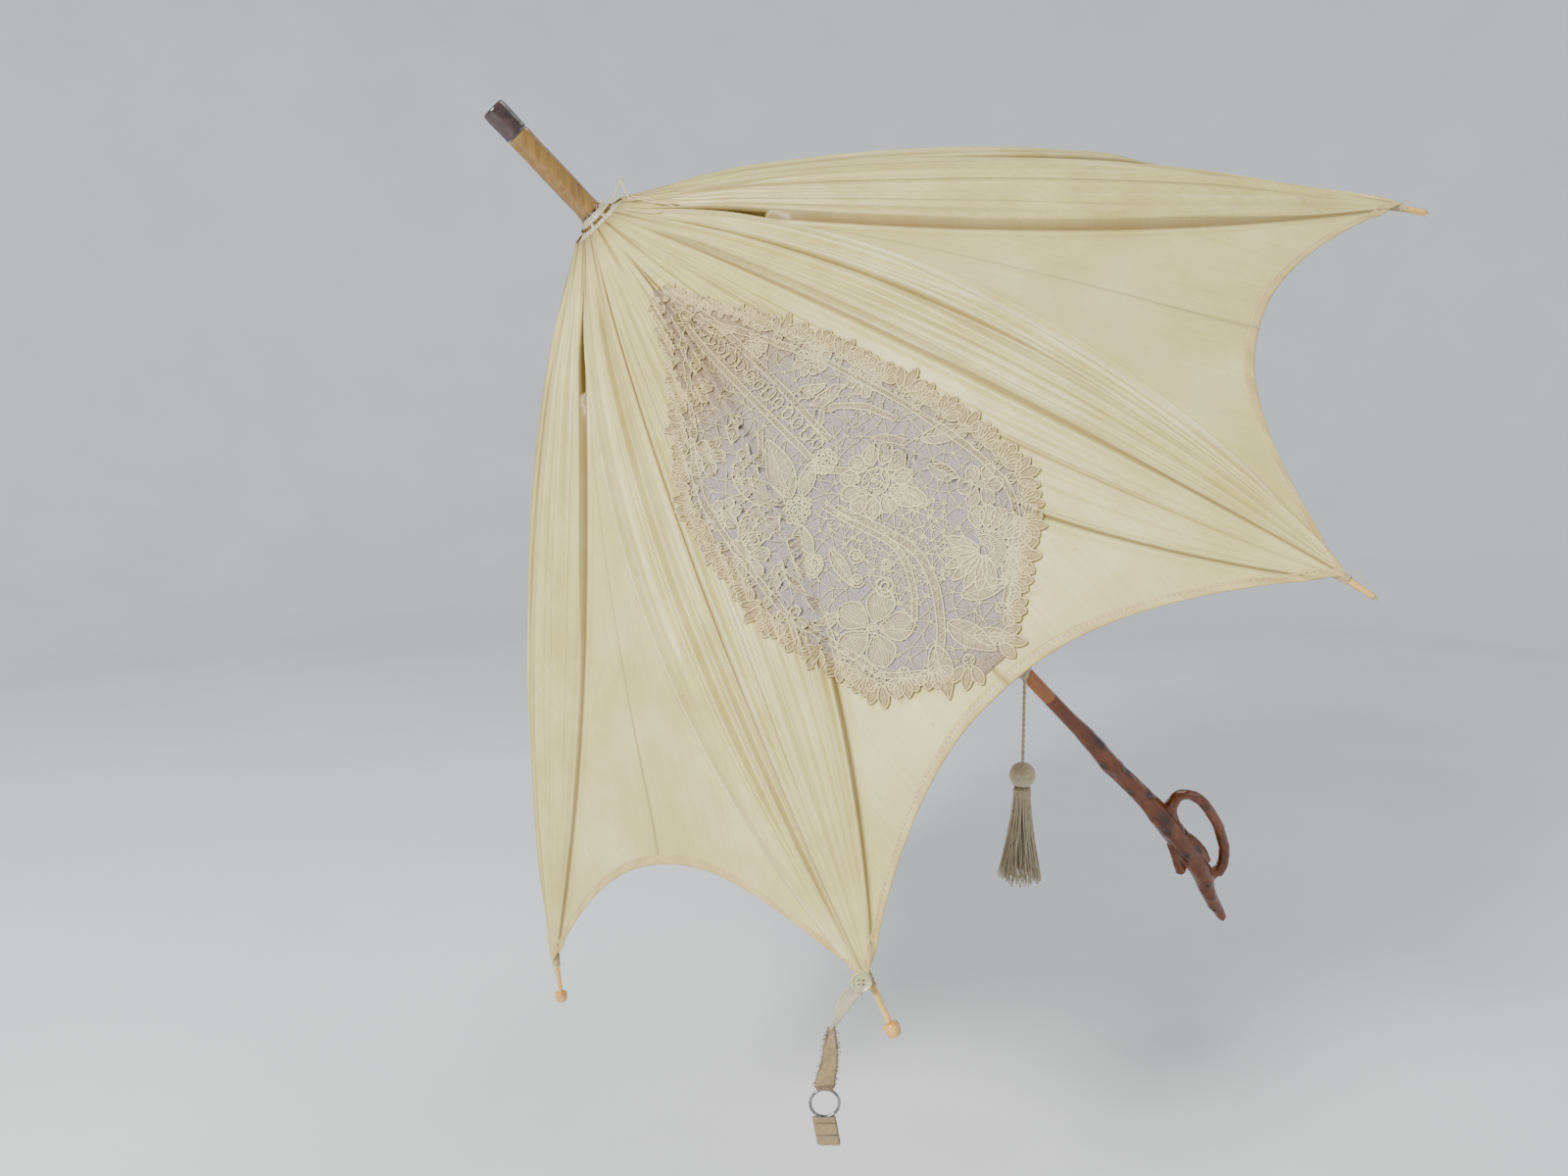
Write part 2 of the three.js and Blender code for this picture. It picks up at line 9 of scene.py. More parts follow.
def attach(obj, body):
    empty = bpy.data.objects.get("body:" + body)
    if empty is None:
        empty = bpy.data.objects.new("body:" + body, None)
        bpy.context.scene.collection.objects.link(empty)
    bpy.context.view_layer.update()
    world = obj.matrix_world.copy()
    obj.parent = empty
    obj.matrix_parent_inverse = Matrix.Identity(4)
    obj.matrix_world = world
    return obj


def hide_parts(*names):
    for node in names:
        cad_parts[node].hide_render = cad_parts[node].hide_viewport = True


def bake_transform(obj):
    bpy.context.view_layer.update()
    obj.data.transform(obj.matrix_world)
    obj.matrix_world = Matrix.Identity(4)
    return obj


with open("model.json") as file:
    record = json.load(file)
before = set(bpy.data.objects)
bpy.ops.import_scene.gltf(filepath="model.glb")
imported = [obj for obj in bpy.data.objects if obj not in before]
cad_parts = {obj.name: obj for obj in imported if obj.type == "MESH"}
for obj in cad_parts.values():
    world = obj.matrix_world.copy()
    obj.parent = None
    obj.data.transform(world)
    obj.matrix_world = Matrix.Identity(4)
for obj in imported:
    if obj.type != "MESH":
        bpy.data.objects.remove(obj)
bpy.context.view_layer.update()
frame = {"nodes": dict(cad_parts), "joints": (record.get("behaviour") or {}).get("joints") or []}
nodes = frame["nodes"]
joints = {joint["name"]: joint for joint in frame["joints"]}
random.seed(47)
mm = 0.001
print("frame loaded:", len(nodes), "nodes")

# the stick runs from the crown through the hand grip, which is the origin
pivots = [np.array(joints["rib_%d_swing" % (i + 1)]["pos_m"]) for i in range(8)]
crown = sum(pivots) / 8
stickDown = -crown / np.linalg.norm(crown)
sideAxis = (pivots[0] - crown) / np.linalg.norm(pivots[0] - crown)
acrossAxis = np.cross(-stickDown, sideAxis)


def onStick(down, side=0.0, across=0.0):  # millimetres from the crown
    return crown + (stickDown * down + sideAxis * side + acrossAxis * across) * mm


# camera: the parasol fills the frame, its handle to the right
view = {"place": (-0.7206, -0.7501, 0.2767), "azimuth": -27.93, "pitch": 6.9, "lens": 27.25, "sensor": 36.0}


def placeCamera():
    a, e = math.radians(view["azimuth"]), math.radians(view["pitch"])
    back = Vector((math.sin(a) * math.cos(e), -math.cos(a) * math.cos(e), math.sin(e)))
    right = Vector((math.cos(a), math.sin(a), 0))
    up = back.cross(right)
    data = bpy.data.cameras.new("camera")
    data.lens, data.sensor_width, data.clip_start = view["lens"], view["sensor"], 0.02
    camera = bpy.data.objects.new("camera", data)
    turn = Matrix((right, up, back)).transposed().to_4x4()
    camera.matrix_world = Matrix.Translation(Vector(view["place"])) @ turn
    bpy.context.scene.collection.objects.link(camera)
    bpy.context.scene.camera = camera


placeCamera()


# colours are given as seen, 0 to 255
def tone(red, green, blue):
    def straighten(c):
        c /= 255
        return c / 12.92 if c < 0.04045 else ((c + 0.055) / 1.055) ** 2.4
    return (straighten(red), straighten(green), straighten(blue), 1.0)


def newFinish(name, roughness=0.5, **sockets):
    material = bpy.data.materials.new(name)
    material.use_nodes = True
    shader = material.node_tree.nodes["Principled BSDF"]
    shader.inputs["Roughness"].default_value = roughness
    for socket, value in sockets.items():
        shader.inputs[socket.replace("_", " ")].default_value = value
    return material, material.node_tree, shader


def addNode(tree, kind, inputs=(), **settings):
    node = tree.nodes.new("ShaderNode" + kind)
    for name, value in settings.items():
        setattr(node, name, value)
    for socket, value in dict(inputs).items():
        if isinstance(value, bpy.types.NodeSocket):
            tree.links.new(value, node.inputs[socket])
        else:
            node.inputs[socket].default_value = value
    return node


def ramp(tree, factor, stops):
    node = addNode(tree, "ValToRGB", {"Fac": factor})
    stretch = node.color_ramp.elements
    while len(stretch) < len(stops):
        stretch.new(0.5)
    for element, (place, colour) in zip(stretch, stops):
        element.position, element.color = place, colour
    return node.outputs["Color"]


def blendColour(tree, factor, first, second, kind="MIX"):
    node = addNode(tree, "Mix", data_type="RGBA", blend_type=kind)
    for socket, value in ((node.inputs[0], factor), (node.inputs[6], first), (node.inputs[7], second)):
        if isinstance(value, bpy.types.NodeSocket):
            tree.links.new(value, socket)
        else:
            socket.default_value = value
    return node.outputs[2]


def coords(tree, scale=(1, 1, 1), turn=(0, 0, 0), source="Object"):
    place = addNode(tree, "TexCoord")
    return addNode(tree, "Mapping", {"Vector": place.outputs[source], "Scale": scale, "Rotation": turn}).outputs[0]


def speckle(tree, where, scale, detail=4.0, rough=0.6):
    return addNode(tree, "TexNoise",
                   {"Vector": where, "Scale": scale, "Detail": detail, "Roughness": rough}).outputs["Fac"]


def bumpOn(tree, shader, height, distance, strength=0.6, under=None):
    bump = addNode(tree, "Bump", {"Height": height, "Distance": distance, "Strength": strength})
    if under is not None:
        tree.links.new(under, bump.inputs["Normal"])
    tree.links.new(bump.outputs[0], shader.inputs["Normal"])
    return bump.outputs[0]


def marks(tree, name):  # a value carried by the mesh
    return addNode(tree, "Attribute", attribute_name=name).outputs["Fac"]


# silk, lace and thread finishes
def silkFinish(name, pale, warm, crease, see=0.22):
    material, tree, shader = newFinish(name, 0.4, Sheen_Weight=0.05, Sheen_Roughness=0.4, Specular_IOR_Level=0.45)
    where = coords(tree, source="UV")
    patch = speckle(tree, where, 14, 5)
    colour = ramp(tree, patch, [(0.3, warm), (0.62, pale)])
    long = coords(tree, (900, 9, 1), source="UV")
    slub = speckle(tree, long, 1.0, 3)
    colour = blendColour(tree, 0.35, colour,
                         ramp(tree, slub, [(0.35, tone(196, 186, 150)), (0.7, tone(246, 240, 214))]), "SOFT_LIGHT")
    spots = speckle(tree, where, 210, 2, 0.4)
    colour = blendColour(tree, ramp(tree, spots, [(0.74, (0, 0, 0, 1)), (0.8, (0.5, 0.5, 0.5, 1))]), colour,
                         tone(176, 142, 92))
    # the crease mark mixes in the crease colour: crease stains, plus painted shade in the slits near the canopy's
    # crown and in the crown frill's pleat valleys
    colour = blendColour(tree, marks(tree, "crease"), colour, crease)
    tree.links.new(colour, shader.inputs["Base Color"])
    warp, weft = [addNode(tree, "TexWave", {"Vector": where, "Scale": scale, "Distortion": 0.6},
                          bands_direction=way).outputs["Fac"]
                  for scale, way in ((420, "X"), (560, "Y"))]
    both = addNode(tree, "Math", {0: warp, 1: weft}, operation="ADD")
    first = bumpOn(tree, shader, both.outputs[0], 0.00004, 0.35)
    bumpOn(tree, shader, slub, 0.0002, 0.35, first)
    through = addNode(tree, "BsdfTranslucent")
    tree.links.new(colour, through.inputs["Color"])
    joined = addNode(tree, "MixShader", {0: see, 1: shader.outputs[0], 2: through.outputs[0]})
    tree.links.new(joined.outputs[0], tree.nodes["Material Output"].inputs["Surface"])
    return material


def threadFinish(name, light, dark, roughness=0.75, scale=900, bumpDistance=0.00012):
    material, tree, shader = newFinish(name, roughness, Sheen_Weight=0.35, Sheen_Roughness=0.5)
    where = coords(tree)
    colour = ramp(tree, speckle(tree, where, scale, 3), [(0.3, dark), (0.68, light)])
    colour = blendColour(tree, speckle(tree, where, 60, 3), colour, blendColour(tree, 0.5, dark, light), "MIX")
    tree.links.new(colour, shader.inputs["Base Color"])
    bumpOn(tree, shader, speckle(tree, where, scale * 2.2, 2), bumpDistance, 0.7)
    return material


def laceFinish(name, cream, tan):
    material, tree, shader = newFinish(name, 0.8, Sheen_Weight=0.3)
    where = coords(tree, source="UV")
    fine = speckle(tree, where, 700, 3)
    pale = blendColour(tree, fine, cream, blendColour(tree, 0.5, cream, tan))
    colour = blendColour(tree, marks(tree, "age"), pale,
                         blendColour(tree, fine, tan, blendColour(tree, 0.35, tan, cream)))
    tree.links.new(colour, shader.inputs["Base Color"])
    bumpOn(tree, shader, speckle(tree, where, 1500, 2), 0.0002, 0.8)
    return material


def netFinish(name, seenShadeGrey, tan):
    material, tree, shader = newFinish(name, 0.85, Sheen_Weight=0.2)
    where = coords(tree, source="UV")
    patch = speckle(tree, where, 40, 3)
    # the net's grey is painted shade: the shadowed inside seen through the lace; tan where it has aged
    colour = blendColour(tree, marks(tree, "age"), blendColour(tree, patch, seenShadeGrey, tone(160, 148, 134)), tan)
    cells = addNode(tree, "TexVoronoi", {"Vector": where, "Scale": 620}, feature="DISTANCE_TO_EDGE")
    hole = ramp(tree, cells.outputs["Distance"], [(0.10, (1, 1, 1, 1)), (0.2, (0.42, 0.42, 0.42, 1))])
    # painted shade: the holes between the net's threads are drawn darker
    dark = blendColour(tree, hole, blendColour(tree, 0.45, colour, tone(120, 104, 98)), colour)
    tree.links.new(dark, shader.inputs["Base Color"])
    alpha = addNode(tree, "Math", {0: hole, 1: marks(tree, "thin")}, operation="MAXIMUM")
    tree.links.new(alpha.outputs[0], shader.inputs["Alpha"])
    bumpOn(tree, shader, cells.outputs["Distance"], 0.0003, 0.6)
    return material


def woodFinish(name, light, dark, along, rings=60, coat=0.5, roughness=0.35, knots=False):
    material, tree, shader = newFinish(name, roughness, Coat_Weight=coat, Coat_Roughness=0.12,
                                       Specular_IOR_Level=0.35)
    # grain runs along the stick: squeeze that direction
    a = addNode(tree, "TexCoord").outputs["Object"]
    turned = addNode(tree, "Mapping", {"Vector": a, "Rotation": (0, along, 0), "Scale": (1, 1, 0.08)}).outputs[0]
    grain = speckle(tree, turned, rings * 12, 6, 0.65)
    broad = speckle(tree, turned, rings * 2, 3)
    colour = ramp(tree, grain, [(0.3, dark), (0.6, light)])
    colour = blendColour(tree, broad, colour, blendColour(tree, 0.6, light, dark))
    if knots:
        blotch = speckle(tree, a, 55, 3)
        colour = blendColour(tree, ramp(tree, blotch, [(0.42, (0, 0, 0, 1)), (0.64, (0.8, 0.8, 0.8, 1))]), colour,
                             tone(80, 34, 8))
        colour = blendColour(tree, marks(tree, "knot"), colour, tone(40, 16, 6))
    tree.links.new(colour, shader.inputs["Base Color"])
    bumpOn(tree, shader, grain, 0.0002, 0.3)
    return material


def hardFinish(name, light, dark, scale, roughness, bumpDistance=0.00015, **sockets):
    material, tree, shader = newFinish(name, roughness, **sockets)
    where = coords(tree)
    colour = ramp(tree, speckle(tree, where, scale, 5), [(0.32, dark), (0.66, light)])
    tree.links.new(colour, shader.inputs["Base Color"])
    rough = addNode(tree, "MapRange",
                    {"Value": speckle(tree, where, scale * 3, 4), "To Min": roughness * 0.7,
                     "To Max": min(1, roughness * 1.4)})
    tree.links.new(rough.outputs[0], shader.inputs["Roughness"])
    bumpOn(tree, shader, speckle(tree, where, scale * 6, 3), bumpDistance, 0.4)
    return material


stickLean = -math.radians(47.5)
finishes = {
    "silk": silkFinish("creamSilk", tone(214, 206, 146), tone(194, 180, 114), tone(120, 84, 42)),
    "hem": silkFinish("hemSilk", tone(204, 191, 134), tone(180, 158, 100), tone(128, 90, 48), 0.08),
    # crown frill: its crease colour paints shade in the pleat valleys; on the strap silk it draws a scattered line
    # pattern
    "frill": silkFinish("crownSilk", tone(206, 202, 178), tone(168, 160, 138), tone(74, 64, 60), 0.1),
    "lace": laceFinish("laceThread", tone(208, 202, 160), tone(188, 164, 102)),
    "laceCloth": laceFinish("laceCloth", tone(154, 147, 130), tone(156, 130, 78)),
    # the net's grey stands for painted shade seen through the lace
    "net": netFinish("laceNet", tone(144, 137, 140), tone(148, 124, 80)),
    "stitch": threadFinish("sewingThread", tone(226, 208, 158), tone(176, 146, 92)),
    "binding": threadFinish("bindingThread", tone(206, 188, 142), tone(140, 116, 76)),
    "ferrule": woodFinish("ferruleWood", tone(148, 116, 58), tone(82, 56, 24), stickLean, 40, 0.3, 0.36),
    "stick": woodFinish("stickWood", tone(168, 106, 50), tone(104, 56, 22), stickLean, 50, 0.35, 0.36),
    "handle": woodFinish("handleWood", tone(128, 66, 12), tone(66, 28, 4), stickLean, 34, 0.3, 0.26, True),
    "horn": hardFinish("darkHorn", tone(66, 46, 44), tone(20, 12, 14), 160, 0.24, Coat_Weight=0.3,
                       Coat_Roughness=0.1),
    "cane": woodFinish("ribCane", tone(222, 184, 104), tone(180, 136, 62), 0.0, 60, 0.4, 0.35),
    "amber": hardFinish("amberBone", tone(214, 170, 88), tone(164, 114, 46), 260, 0.3, Coat_Weight=0.4,
                        Subsurface_Weight=0.15, Subsurface_Scale=0.002),
    "brass": hardFinish("agedBrass", tone(168, 140, 88), tone(92, 74, 48), 300, 0.4, Metallic=1.0),
    "steel": hardFinish("dullSteel", tone(128, 122, 114), tone(66, 58, 52), 240, 0.42, Metallic=1.0),
    "wire": hardFinish("greyWire", tone(150, 150, 150), tone(86, 86, 86), 500, 0.3, Metallic=1.0),
    "button": hardFinish("shellButton", tone(184, 184, 140), tone(152, 148, 102), 320, 0.3, Coat_Weight=0.5),
    # the button's holes: dark discs of painted shade
    "hole": hardFinish("paintedHoleShade", tone(60, 56, 46), tone(30, 27, 24), 400, 0.7),
    "band": threadFinish("ribbedBand", tone(152, 134, 92), tone(102, 84, 50), 0.6, 500),
    "bandEdge": threadFinish("bandEdge", tone(120, 102, 76), tone(72, 58, 42), 0.75, 700),
    "tassel": threadFinish("tasselThread", tone(190, 176, 146), tone(122, 106, 78), 0.55, 420),
}
print("finishes made:", len(finishes))


# mesh helpers
def addPiece(name, points, faces, finish, smooth=True, uv=None, values=None, faceFinish=None):
    mesh = bpy.data.meshes.new(name)
    mesh.from_pydata(np.asarray(points, float).tolist(), [], [list(map(int, f)) for f in faces])
    mesh.update()
    for key in ([finish] if isinstance(finish, str) else finish):
        mesh.materials.append(finishes[key])
    mesh.polygons.foreach_set("use_smooth", [smooth] * len(mesh.polygons))
    if faceFinish is not None:
        mesh.polygons.foreach_set("material_index", np.asarray(faceFinish, int))
    if uv is not None:
        layer = mesh.uv_layers.new(name="UVMap")
        corner = np.empty(len(mesh.loops), int)
        mesh.loops.foreach_get("vertex_index", corner)
        layer.data.foreach_set("uv", np.asarray(uv, np.float32)[corner].ravel())
    for key, value in (values or {}).items():
        mesh.attributes.new(key, "FLOAT", "POINT").data.foreach_set("value", np.asarray(value, np.float32))
    piece = bpy.data.objects.new(name, mesh)
    bpy.context.scene.collection.objects.link(piece)
    return piece


def unit(v):
    return v / np.maximum(np.linalg.norm(v, axis=-1, keepdims=True), 1e-12)


def gridFaces(rows, columns, closed=False, flip=False):
    i, j = np.meshgrid(np.arange(rows - 1), np.arange(columns if closed else columns - 1), indexing="ij")
    k = (j + 1) % columns
    faces = np.stack([i * columns + j, i * columns + k, (i + 1) * columns + k, (i + 1) * columns + j], -1).reshape(-1,
            4)
    return (faces[:, ::-1] if flip else faces).tolist()


def tube(line, girth, sides=6, ref=None, cap=True):
    # a tube round a line; ref keeps its seam steady, else it is carried along the line
    line = np.asarray(line, float)
    n = len(line)
    along = unit(np.gradient(line, axis=0))
    if ref is not None:
        across = unit(np.cross(along, ref))
    else:
        first = np.cross(along[0], (0.31, 0.52, 0.79))
        across = np.empty_like(line)
        across[0] = unit(first)
        for i in range(1, n):
            across[i] = unit(across[i - 1] - along[i] * np.dot(across[i - 1], along[i]))
    up = np.cross(across, along)
    angle = np.arange(sides) * 2 * math.pi / sides
    girth = np.broadcast_to(np.asarray(girth, float), (n,))
    ring = np.cos(angle)[None, :, None] * across[:, None] + np.sin(angle)[None, :, None] * up[:, None]
    points = (line[:, None] + girth[:, None, None] * ring).reshape(-1, 3)
    faces = gridFaces(n, sides, closed=True)
    if cap:
        faces.append(list(range(sides))[::-1])
        faces.append([(n - 1) * sides + q for q in range(sides)])
    return points, faces


def gather(parts):  # several (points, faces) as one
    points, faces, base = [], [], 0
    for p, f in parts:
        points.append(np.asarray(p))
        faces.extend([[v + base for v in face] for face in f])
        base += len(p)
    return np.concatenate(points), faces


def lathe(outline, sides, centre, axis, ref=None, squeeze=None):
    # outline holds (radius, height) in millimetres, turned about axis
    axis = unit(np.asarray(axis, float))
    first = unit(np.cross(axis, (0.2, 0.9, 0.3) if ref is None else ref))
    second = np.cross(axis, first)
    angle = np.arange(sides) * 2 * math.pi / sides
    points = []
    for radius, height in outline:
        r = radius * np.ones(sides) if squeeze is None else squeeze(radius, height, angle)
        points.append(centre + (r[:, None] * (np.cos(angle)[:, None] * first + np.sin(angle)[:, None] * second)
                                + height * axis) * mm)
    n = len(outline)
    faces = gridFaces(n, sides, closed=True)
    faces.append(list(range(sides))[::-1])
    faces.append([(n - 1) * sides + q for q in range(sides)])
    return np.concatenate(points), faces


def smoothCurve(knots, count):
    # even points on a smooth curve through the knots
    knots = np.asarray(knots, float)
    padded = np.vstack([2 * knots[0] - knots[1], knots, 2 * knots[-1] - knots[-2]])
    points = []
    for i in range(1, len(padded) - 2):
        a, b, c, d = padded[i - 1:i + 3]
        for t in np.linspace(0, 1, 24, endpoint=i == len(padded) - 3):
            points.append(0.5 * (2 * b + (c - a) * t + (2 * a - 5 * b + 4 * c - d) * t ** 2
                                 + (3 * b - a - 3 * c + d) * t ** 3))
    points = np.array(points)
    walked = np.concatenate([[0], np.cumsum(np.linalg.norm(np.diff(points, axis=0), axis=1))])
    even = np.linspace(0, walked[-1], count)
    return np.stack([np.interp(even, walked, points[:, i]) for i in range(points.shape[1])], -1)


def sharpen(piece, angle=35):
    piece.data.polygons.foreach_set("use_smooth", [True] * len(piece.data.polygons))
    for edge in piece.data.edges:
        edge.use_edge_sharp = False
    piece.data.set_sharp_from_angle(angle=math.radians(angle))


# tassel on its cord: it hangs from the tie round the stick
tassel = {"plumb": (-107, -8), "cordTop": 90, "cordEnd": 20, "cord": 3.0, "twist": 9.0, "bead": 10.7,
          "skirt": 80, "strands": 190, "spread": 19.0, "length": 0.070, "tieDown": 478}


def makeTassel():
    x, y = tassel["plumb"]
    top, end = tassel["cordTop"], tassel["cordEnd"]
    strands = []
    z = np.linspace(top, end, 90)
    for turn in (0, math.pi):
        angle = turn + (top - z) / tassel["twist"] * 2 * math.pi
        line = np.stack([x + 0.68 * np.cos(angle), y + 0.68 * np.sin(angle), z], -1) * mm
        strands.append(tube(line, 0.82 * mm, 8))
    cord = addPiece("tasselCord", *gather(strands), "tassel")
    centre = np.array([x, y, end - 0.3 - tassel["bead"]]) * mm
    outline = [(tassel["bead"] * math.cos(t), tassel["bead"] * math.sin(t)) for t in np.linspace(-1.5, 1.5, 56)]

    def wound(radius, height, angle):
        lean = angle * 13 + height * 0.42
        return radius * (1 - 0.035 + 0.03 * np.abs(np.sin(lean))) - 0.12 * abs(math.sin(height * 1.3))
    bead = addPiece("tasselBead", *lathe(outline, 132, centre, (0, 0, 1), squeeze=wound), "tassel")
    low = end - 0.6 - 2 * tassel["bead"]
    hair = []
    spin = random.Random(8)
    for i in range(tassel["strands"]):
        a = spin.random() * 2 * math.pi
        ring = math.sqrt(spin.random())
        start = 1.5 + 4.6 * ring
        reach = 3 + (tassel["spread"] - 3) * ring * (0.85 + 0.15 * spin.random())
        long = tassel["skirt"] * (0.93 + 0.065 * spin.random())
        wave, phase = spin.uniform(0.5, 1.5), spin.random() * 6.28
        t = np.linspace(0, 1, 16)
        r = start + (reach - start) * (0.15 * t + 0.85 * t ** 1.5)
        r = np.minimum(r, 6.1 + 14 * t)
        swing = a + 0.25 * np.sin(t * 5 + phase) * t
        line = np.stack([x + r * np.cos(swing) + wave * 0.4 * np.sin(t * 19 + phase) * t,
                         y + r * np.sin(swing) + wave * 0.4 * np.cos(t * 17 + phase) * t, low + 1.2 - long * t], -1)
        hair.append(tube(line * mm, (0.62 - 0.2 * t) * mm, 5))
    for k in range(5):  # the neck binding
        a = np.linspace(0, 2 * math.pi, 40)
        hair.append(tube(np.stack([x + 6.6 * np.cos(a), y + 6.6 * np.sin(a), low - 1.2 - k * 1.25 + 0 * a], -1) * mm,
                         0.75 * mm, 6, cap=False))
    skirt = addPiece("tasselSkirt", *gather(hair), "tassel")
    for piece, node in ((cord, "tassel_cord"), (bead, "tassel_bead"), (skirt, "tassel_skirt")):
        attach(piece, "tassel")
        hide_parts(node)
    a = np.linspace(0, 2 * math.pi * 3, 90)
    lines = np.stack([onStick(tassel["tieDown"] - 2.4 + 4.8 * q / a[-1], 7.6 * math.cos(q), 7.6 * math.sin(q))
                      for q in a])
    knot = lathe([(0.6, -3.6), (2.2, -3), (3, -1.2), (3, 1.2), (2.2, 3), (0.6, 3.6)], 14,
                 np.array([x, y, top + 2.2]) * mm, (0.3, 0.2, 1))
    tie = addPiece("tasselTie", *gather([tube(lines, 1.25 * mm, 7), knot]), "tassel")
    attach(tie, "stick")
    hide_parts("tassel_tie")


makeTassel()
print("tassel made")


# canopy: eight gores on bowed ribs
canopy = {"pivotRadius": 11.0, "ribAngle": 50.4, "reach": 512.0, "bow": 22.0, "clothStart": 8.0, "seamEnd": 418.0,
          "tip": 484.0, "lift": 6.1, "creaseReach": 490.0, "creasePower": 1.8, "rows": 64, "thickness": 0.35,
          "hemWidth": 4.6, "belly": 3.2, "cut": (0.148, 0.476)}


def bowAt(along):
    share = along / canopy["reach"]
    return 4 * canopy["bow"] * share * (1 - share)


def onRib(index, along, lift, across=0.0):
    # millimetres along the rib's chord, off it, and across it
    along, lift = np.asarray(along, float), np.asarray(lift, float)
    azimuth = -math.pi / 4 * index
    out = math.cos(azimuth) * sideAxis + math.sin(azimuth) * acrossAxis
    aside = -math.sin(azimuth) * sideAxis + math.cos(azimuth) * acrossAxis
    t = math.radians(canopy["ribAngle"])
    chord = math.sin(t) * out + math.cos(t) * stickDown
    normal = math.cos(t) * out - math.sin(t) * stickDown
    up = (bowAt(along) + lift)[..., None]
    return crown + (canopy["pivotRadius"] * out + along[..., None] * chord + up * normal + np.asarray(across)[...,
            None] * aside) * mm


def creaseAt(along):  # where the main crease lies, as a share from the seam to the rib
    return np.clip(np.asarray(along, float) / canopy["creaseReach"], 0.0, 1.0) ** canopy["creasePower"]


def halfWidth(along):  # from the seam to the rib, in millimetres
    a, b = onRib(0, along, 0.0), onRib(1, along, 0.0)
    return np.linalg.norm(a - b, axis=-1) / 2 / mm


def hemAt(off):  # off is 0 at the seam and 1 at the rib
    return canopy["seamEnd"] + (canopy["tip"] - canopy["seamEnd"]) * np.abs(off) ** 2.2


def bell(x, width):
    return np.exp(-(x / width) ** 2)


def rise(x, low, high):
    t = np.clip((x - low) / (high - low), 0, 1)
    return t * t * (3 - 2 * t)


# folds of each half gore: place between crease and rib, width, height and how far it runs
foldLook = {"count": 15, "low": 1.1, "high": 4.3, "strong": {1: 1.55, 0: 1.5, 2: 0.85, 3: 1.15}}
goreFolds = {}
for gore in range(8):
    for end in (-1, 1):
        spin = random.Random(900 + gore * 7 + end)
        folds = []
        for i in range(foldLook["count"]):
            place = (i + 0.2 + 0.7 * spin.random()) / foldLook["count"]
            height = spin.uniform(foldLook["low"], foldLook["high"]) * foldLook["strong"].get(gore, 1.0)
            folds.append((place, spin.uniform(0.016, 0.045), height, spin.uniform(0, 60), spin.uniform(250, 520),
                          spin.random()))
        goreFolds[gore, end] = folds


def silkShape(gore, along, off):
    # height of the silk off its smooth surface, and how dark its colour is drawn: crease stains, darker towards the
    # crown, and painted shadow in slits between the pleats near the crown
    along, off = np.broadcast_arrays(np.asarray(along, float), np.asarray(off, float))
    half = halfWidth(along)
    crease = creaseAt(along)
    away = np.abs(off)
    strip = np.maximum(half * (1 - crease), 0.3)
    place = (away - crease) / np.maximum(1 - crease, 1e-3)
    dist = (away - crease) * half
    lift = np.zeros_like(half)
    line = np.zeros_like(half)
    for end in (-1, 1):
        mine = (off * end >= 0) if end == 1 else (off < 0)
        total = np.zeros_like(half)
        dark = np.zeros_like(half)
        for spot, width, height, start, stop, kind in goreFolds[gore, end]:
            shape = bell(place - spot, width) - 0.55 * bell(place - spot - width * 1.7, width * 1.3)
            length = rise(along, start, start + 70) * (1 - 0.75 * rise(along, stop - 90, stop))
            total += height * shape * length
            if kind > 0.5:
                dark += (kind - 0.22) * bell((place - spot - width * 0.9) * strip, 0.55) * length
        size = np.clip(strip / 34, 0, 1) ** 1.1
        lift = np.where(mine, total * size * (place > 0), lift)
        line = np.where(mine, dark * (place > 0), line)
    gather = rise(along, 14, 90)
    reach = np.clip(strip / 10, 0, 1)
    # the main crease: a tuck beside a shallow trough
    lift = lift * rise(along, 8, 40) + gather * reach * (1.7 * bell(dist - 1.5, 1.5) - 1.5 * bell(dist + 2.2, 2.6))
    inner = np.clip(away / np.maximum(crease, 1e-3), 0, 1)
    lift = lift - canopy["belly"] * (1 - inner ** 2) * (place < 0) * rise(along, 60,
            330) * (1 - 0.6 * rise(along, 380, 420))
    lift = lift + 0.5 * bell(away * half, 0.9) * rise(along, 20, 60)                     # the seam
    soft = np.sin(along * 0.034 + gore) * np.sin(inner * 5.1 + gore * 2.0)
    lift = lift + 0.5 * soft * (place < 0) * inner * (1 - inner) * 4 * rise(along, 150, 300)
    line = np.clip(line, 0, 0.6) + 0.75 * bell(dist, 0.6) * rise(along, 20, 80) + 0.3 * bell(away * half,
            0.5) * rise(along, 30, 90)
    line = line + 0.5 * bell((1 - away) * half, 0.7) * rise(along, 10, 60)
    # darker towards the crown
    line = line + 0.35 * (1 - rise(along, 10, 34))
    # painted shadow: dark slits between the pleats near the crown
    paintedSlitShade = np.clip(np.sin(away * 9 + gore * 2.3), 0, 1) ** 4
    line = line + 0.6 * paintedSlitShade * (1 - rise(along, 34, 72))
    return lift * rise(1 - away, 0, 0.02), np.clip(line, 0, 0.9)


def onGore(gore, along, off, lift=0.0):
    # off runs from -1 at one rib through 0 at the seam to 1 at the next
    along, off = np.broadcast_arrays(np.asarray(along, float), np.asarray(off, float))
    up = silkShape(gore, along, off)[0] + canopy["lift"] + lift
    share = ((off + 1) / 2)[..., None]
    return onRib(gore, along, up) * (1 - share) + onRib(gore + 1, along, up) * share


def halfBodies(gore, end):
    rib = (gore if end < 0 else (gore + 1) % 8) + 1
    return rib, "rib_%d" % rib, "gore_%d_%s" % (rib, "right" if end < 0 else "left")


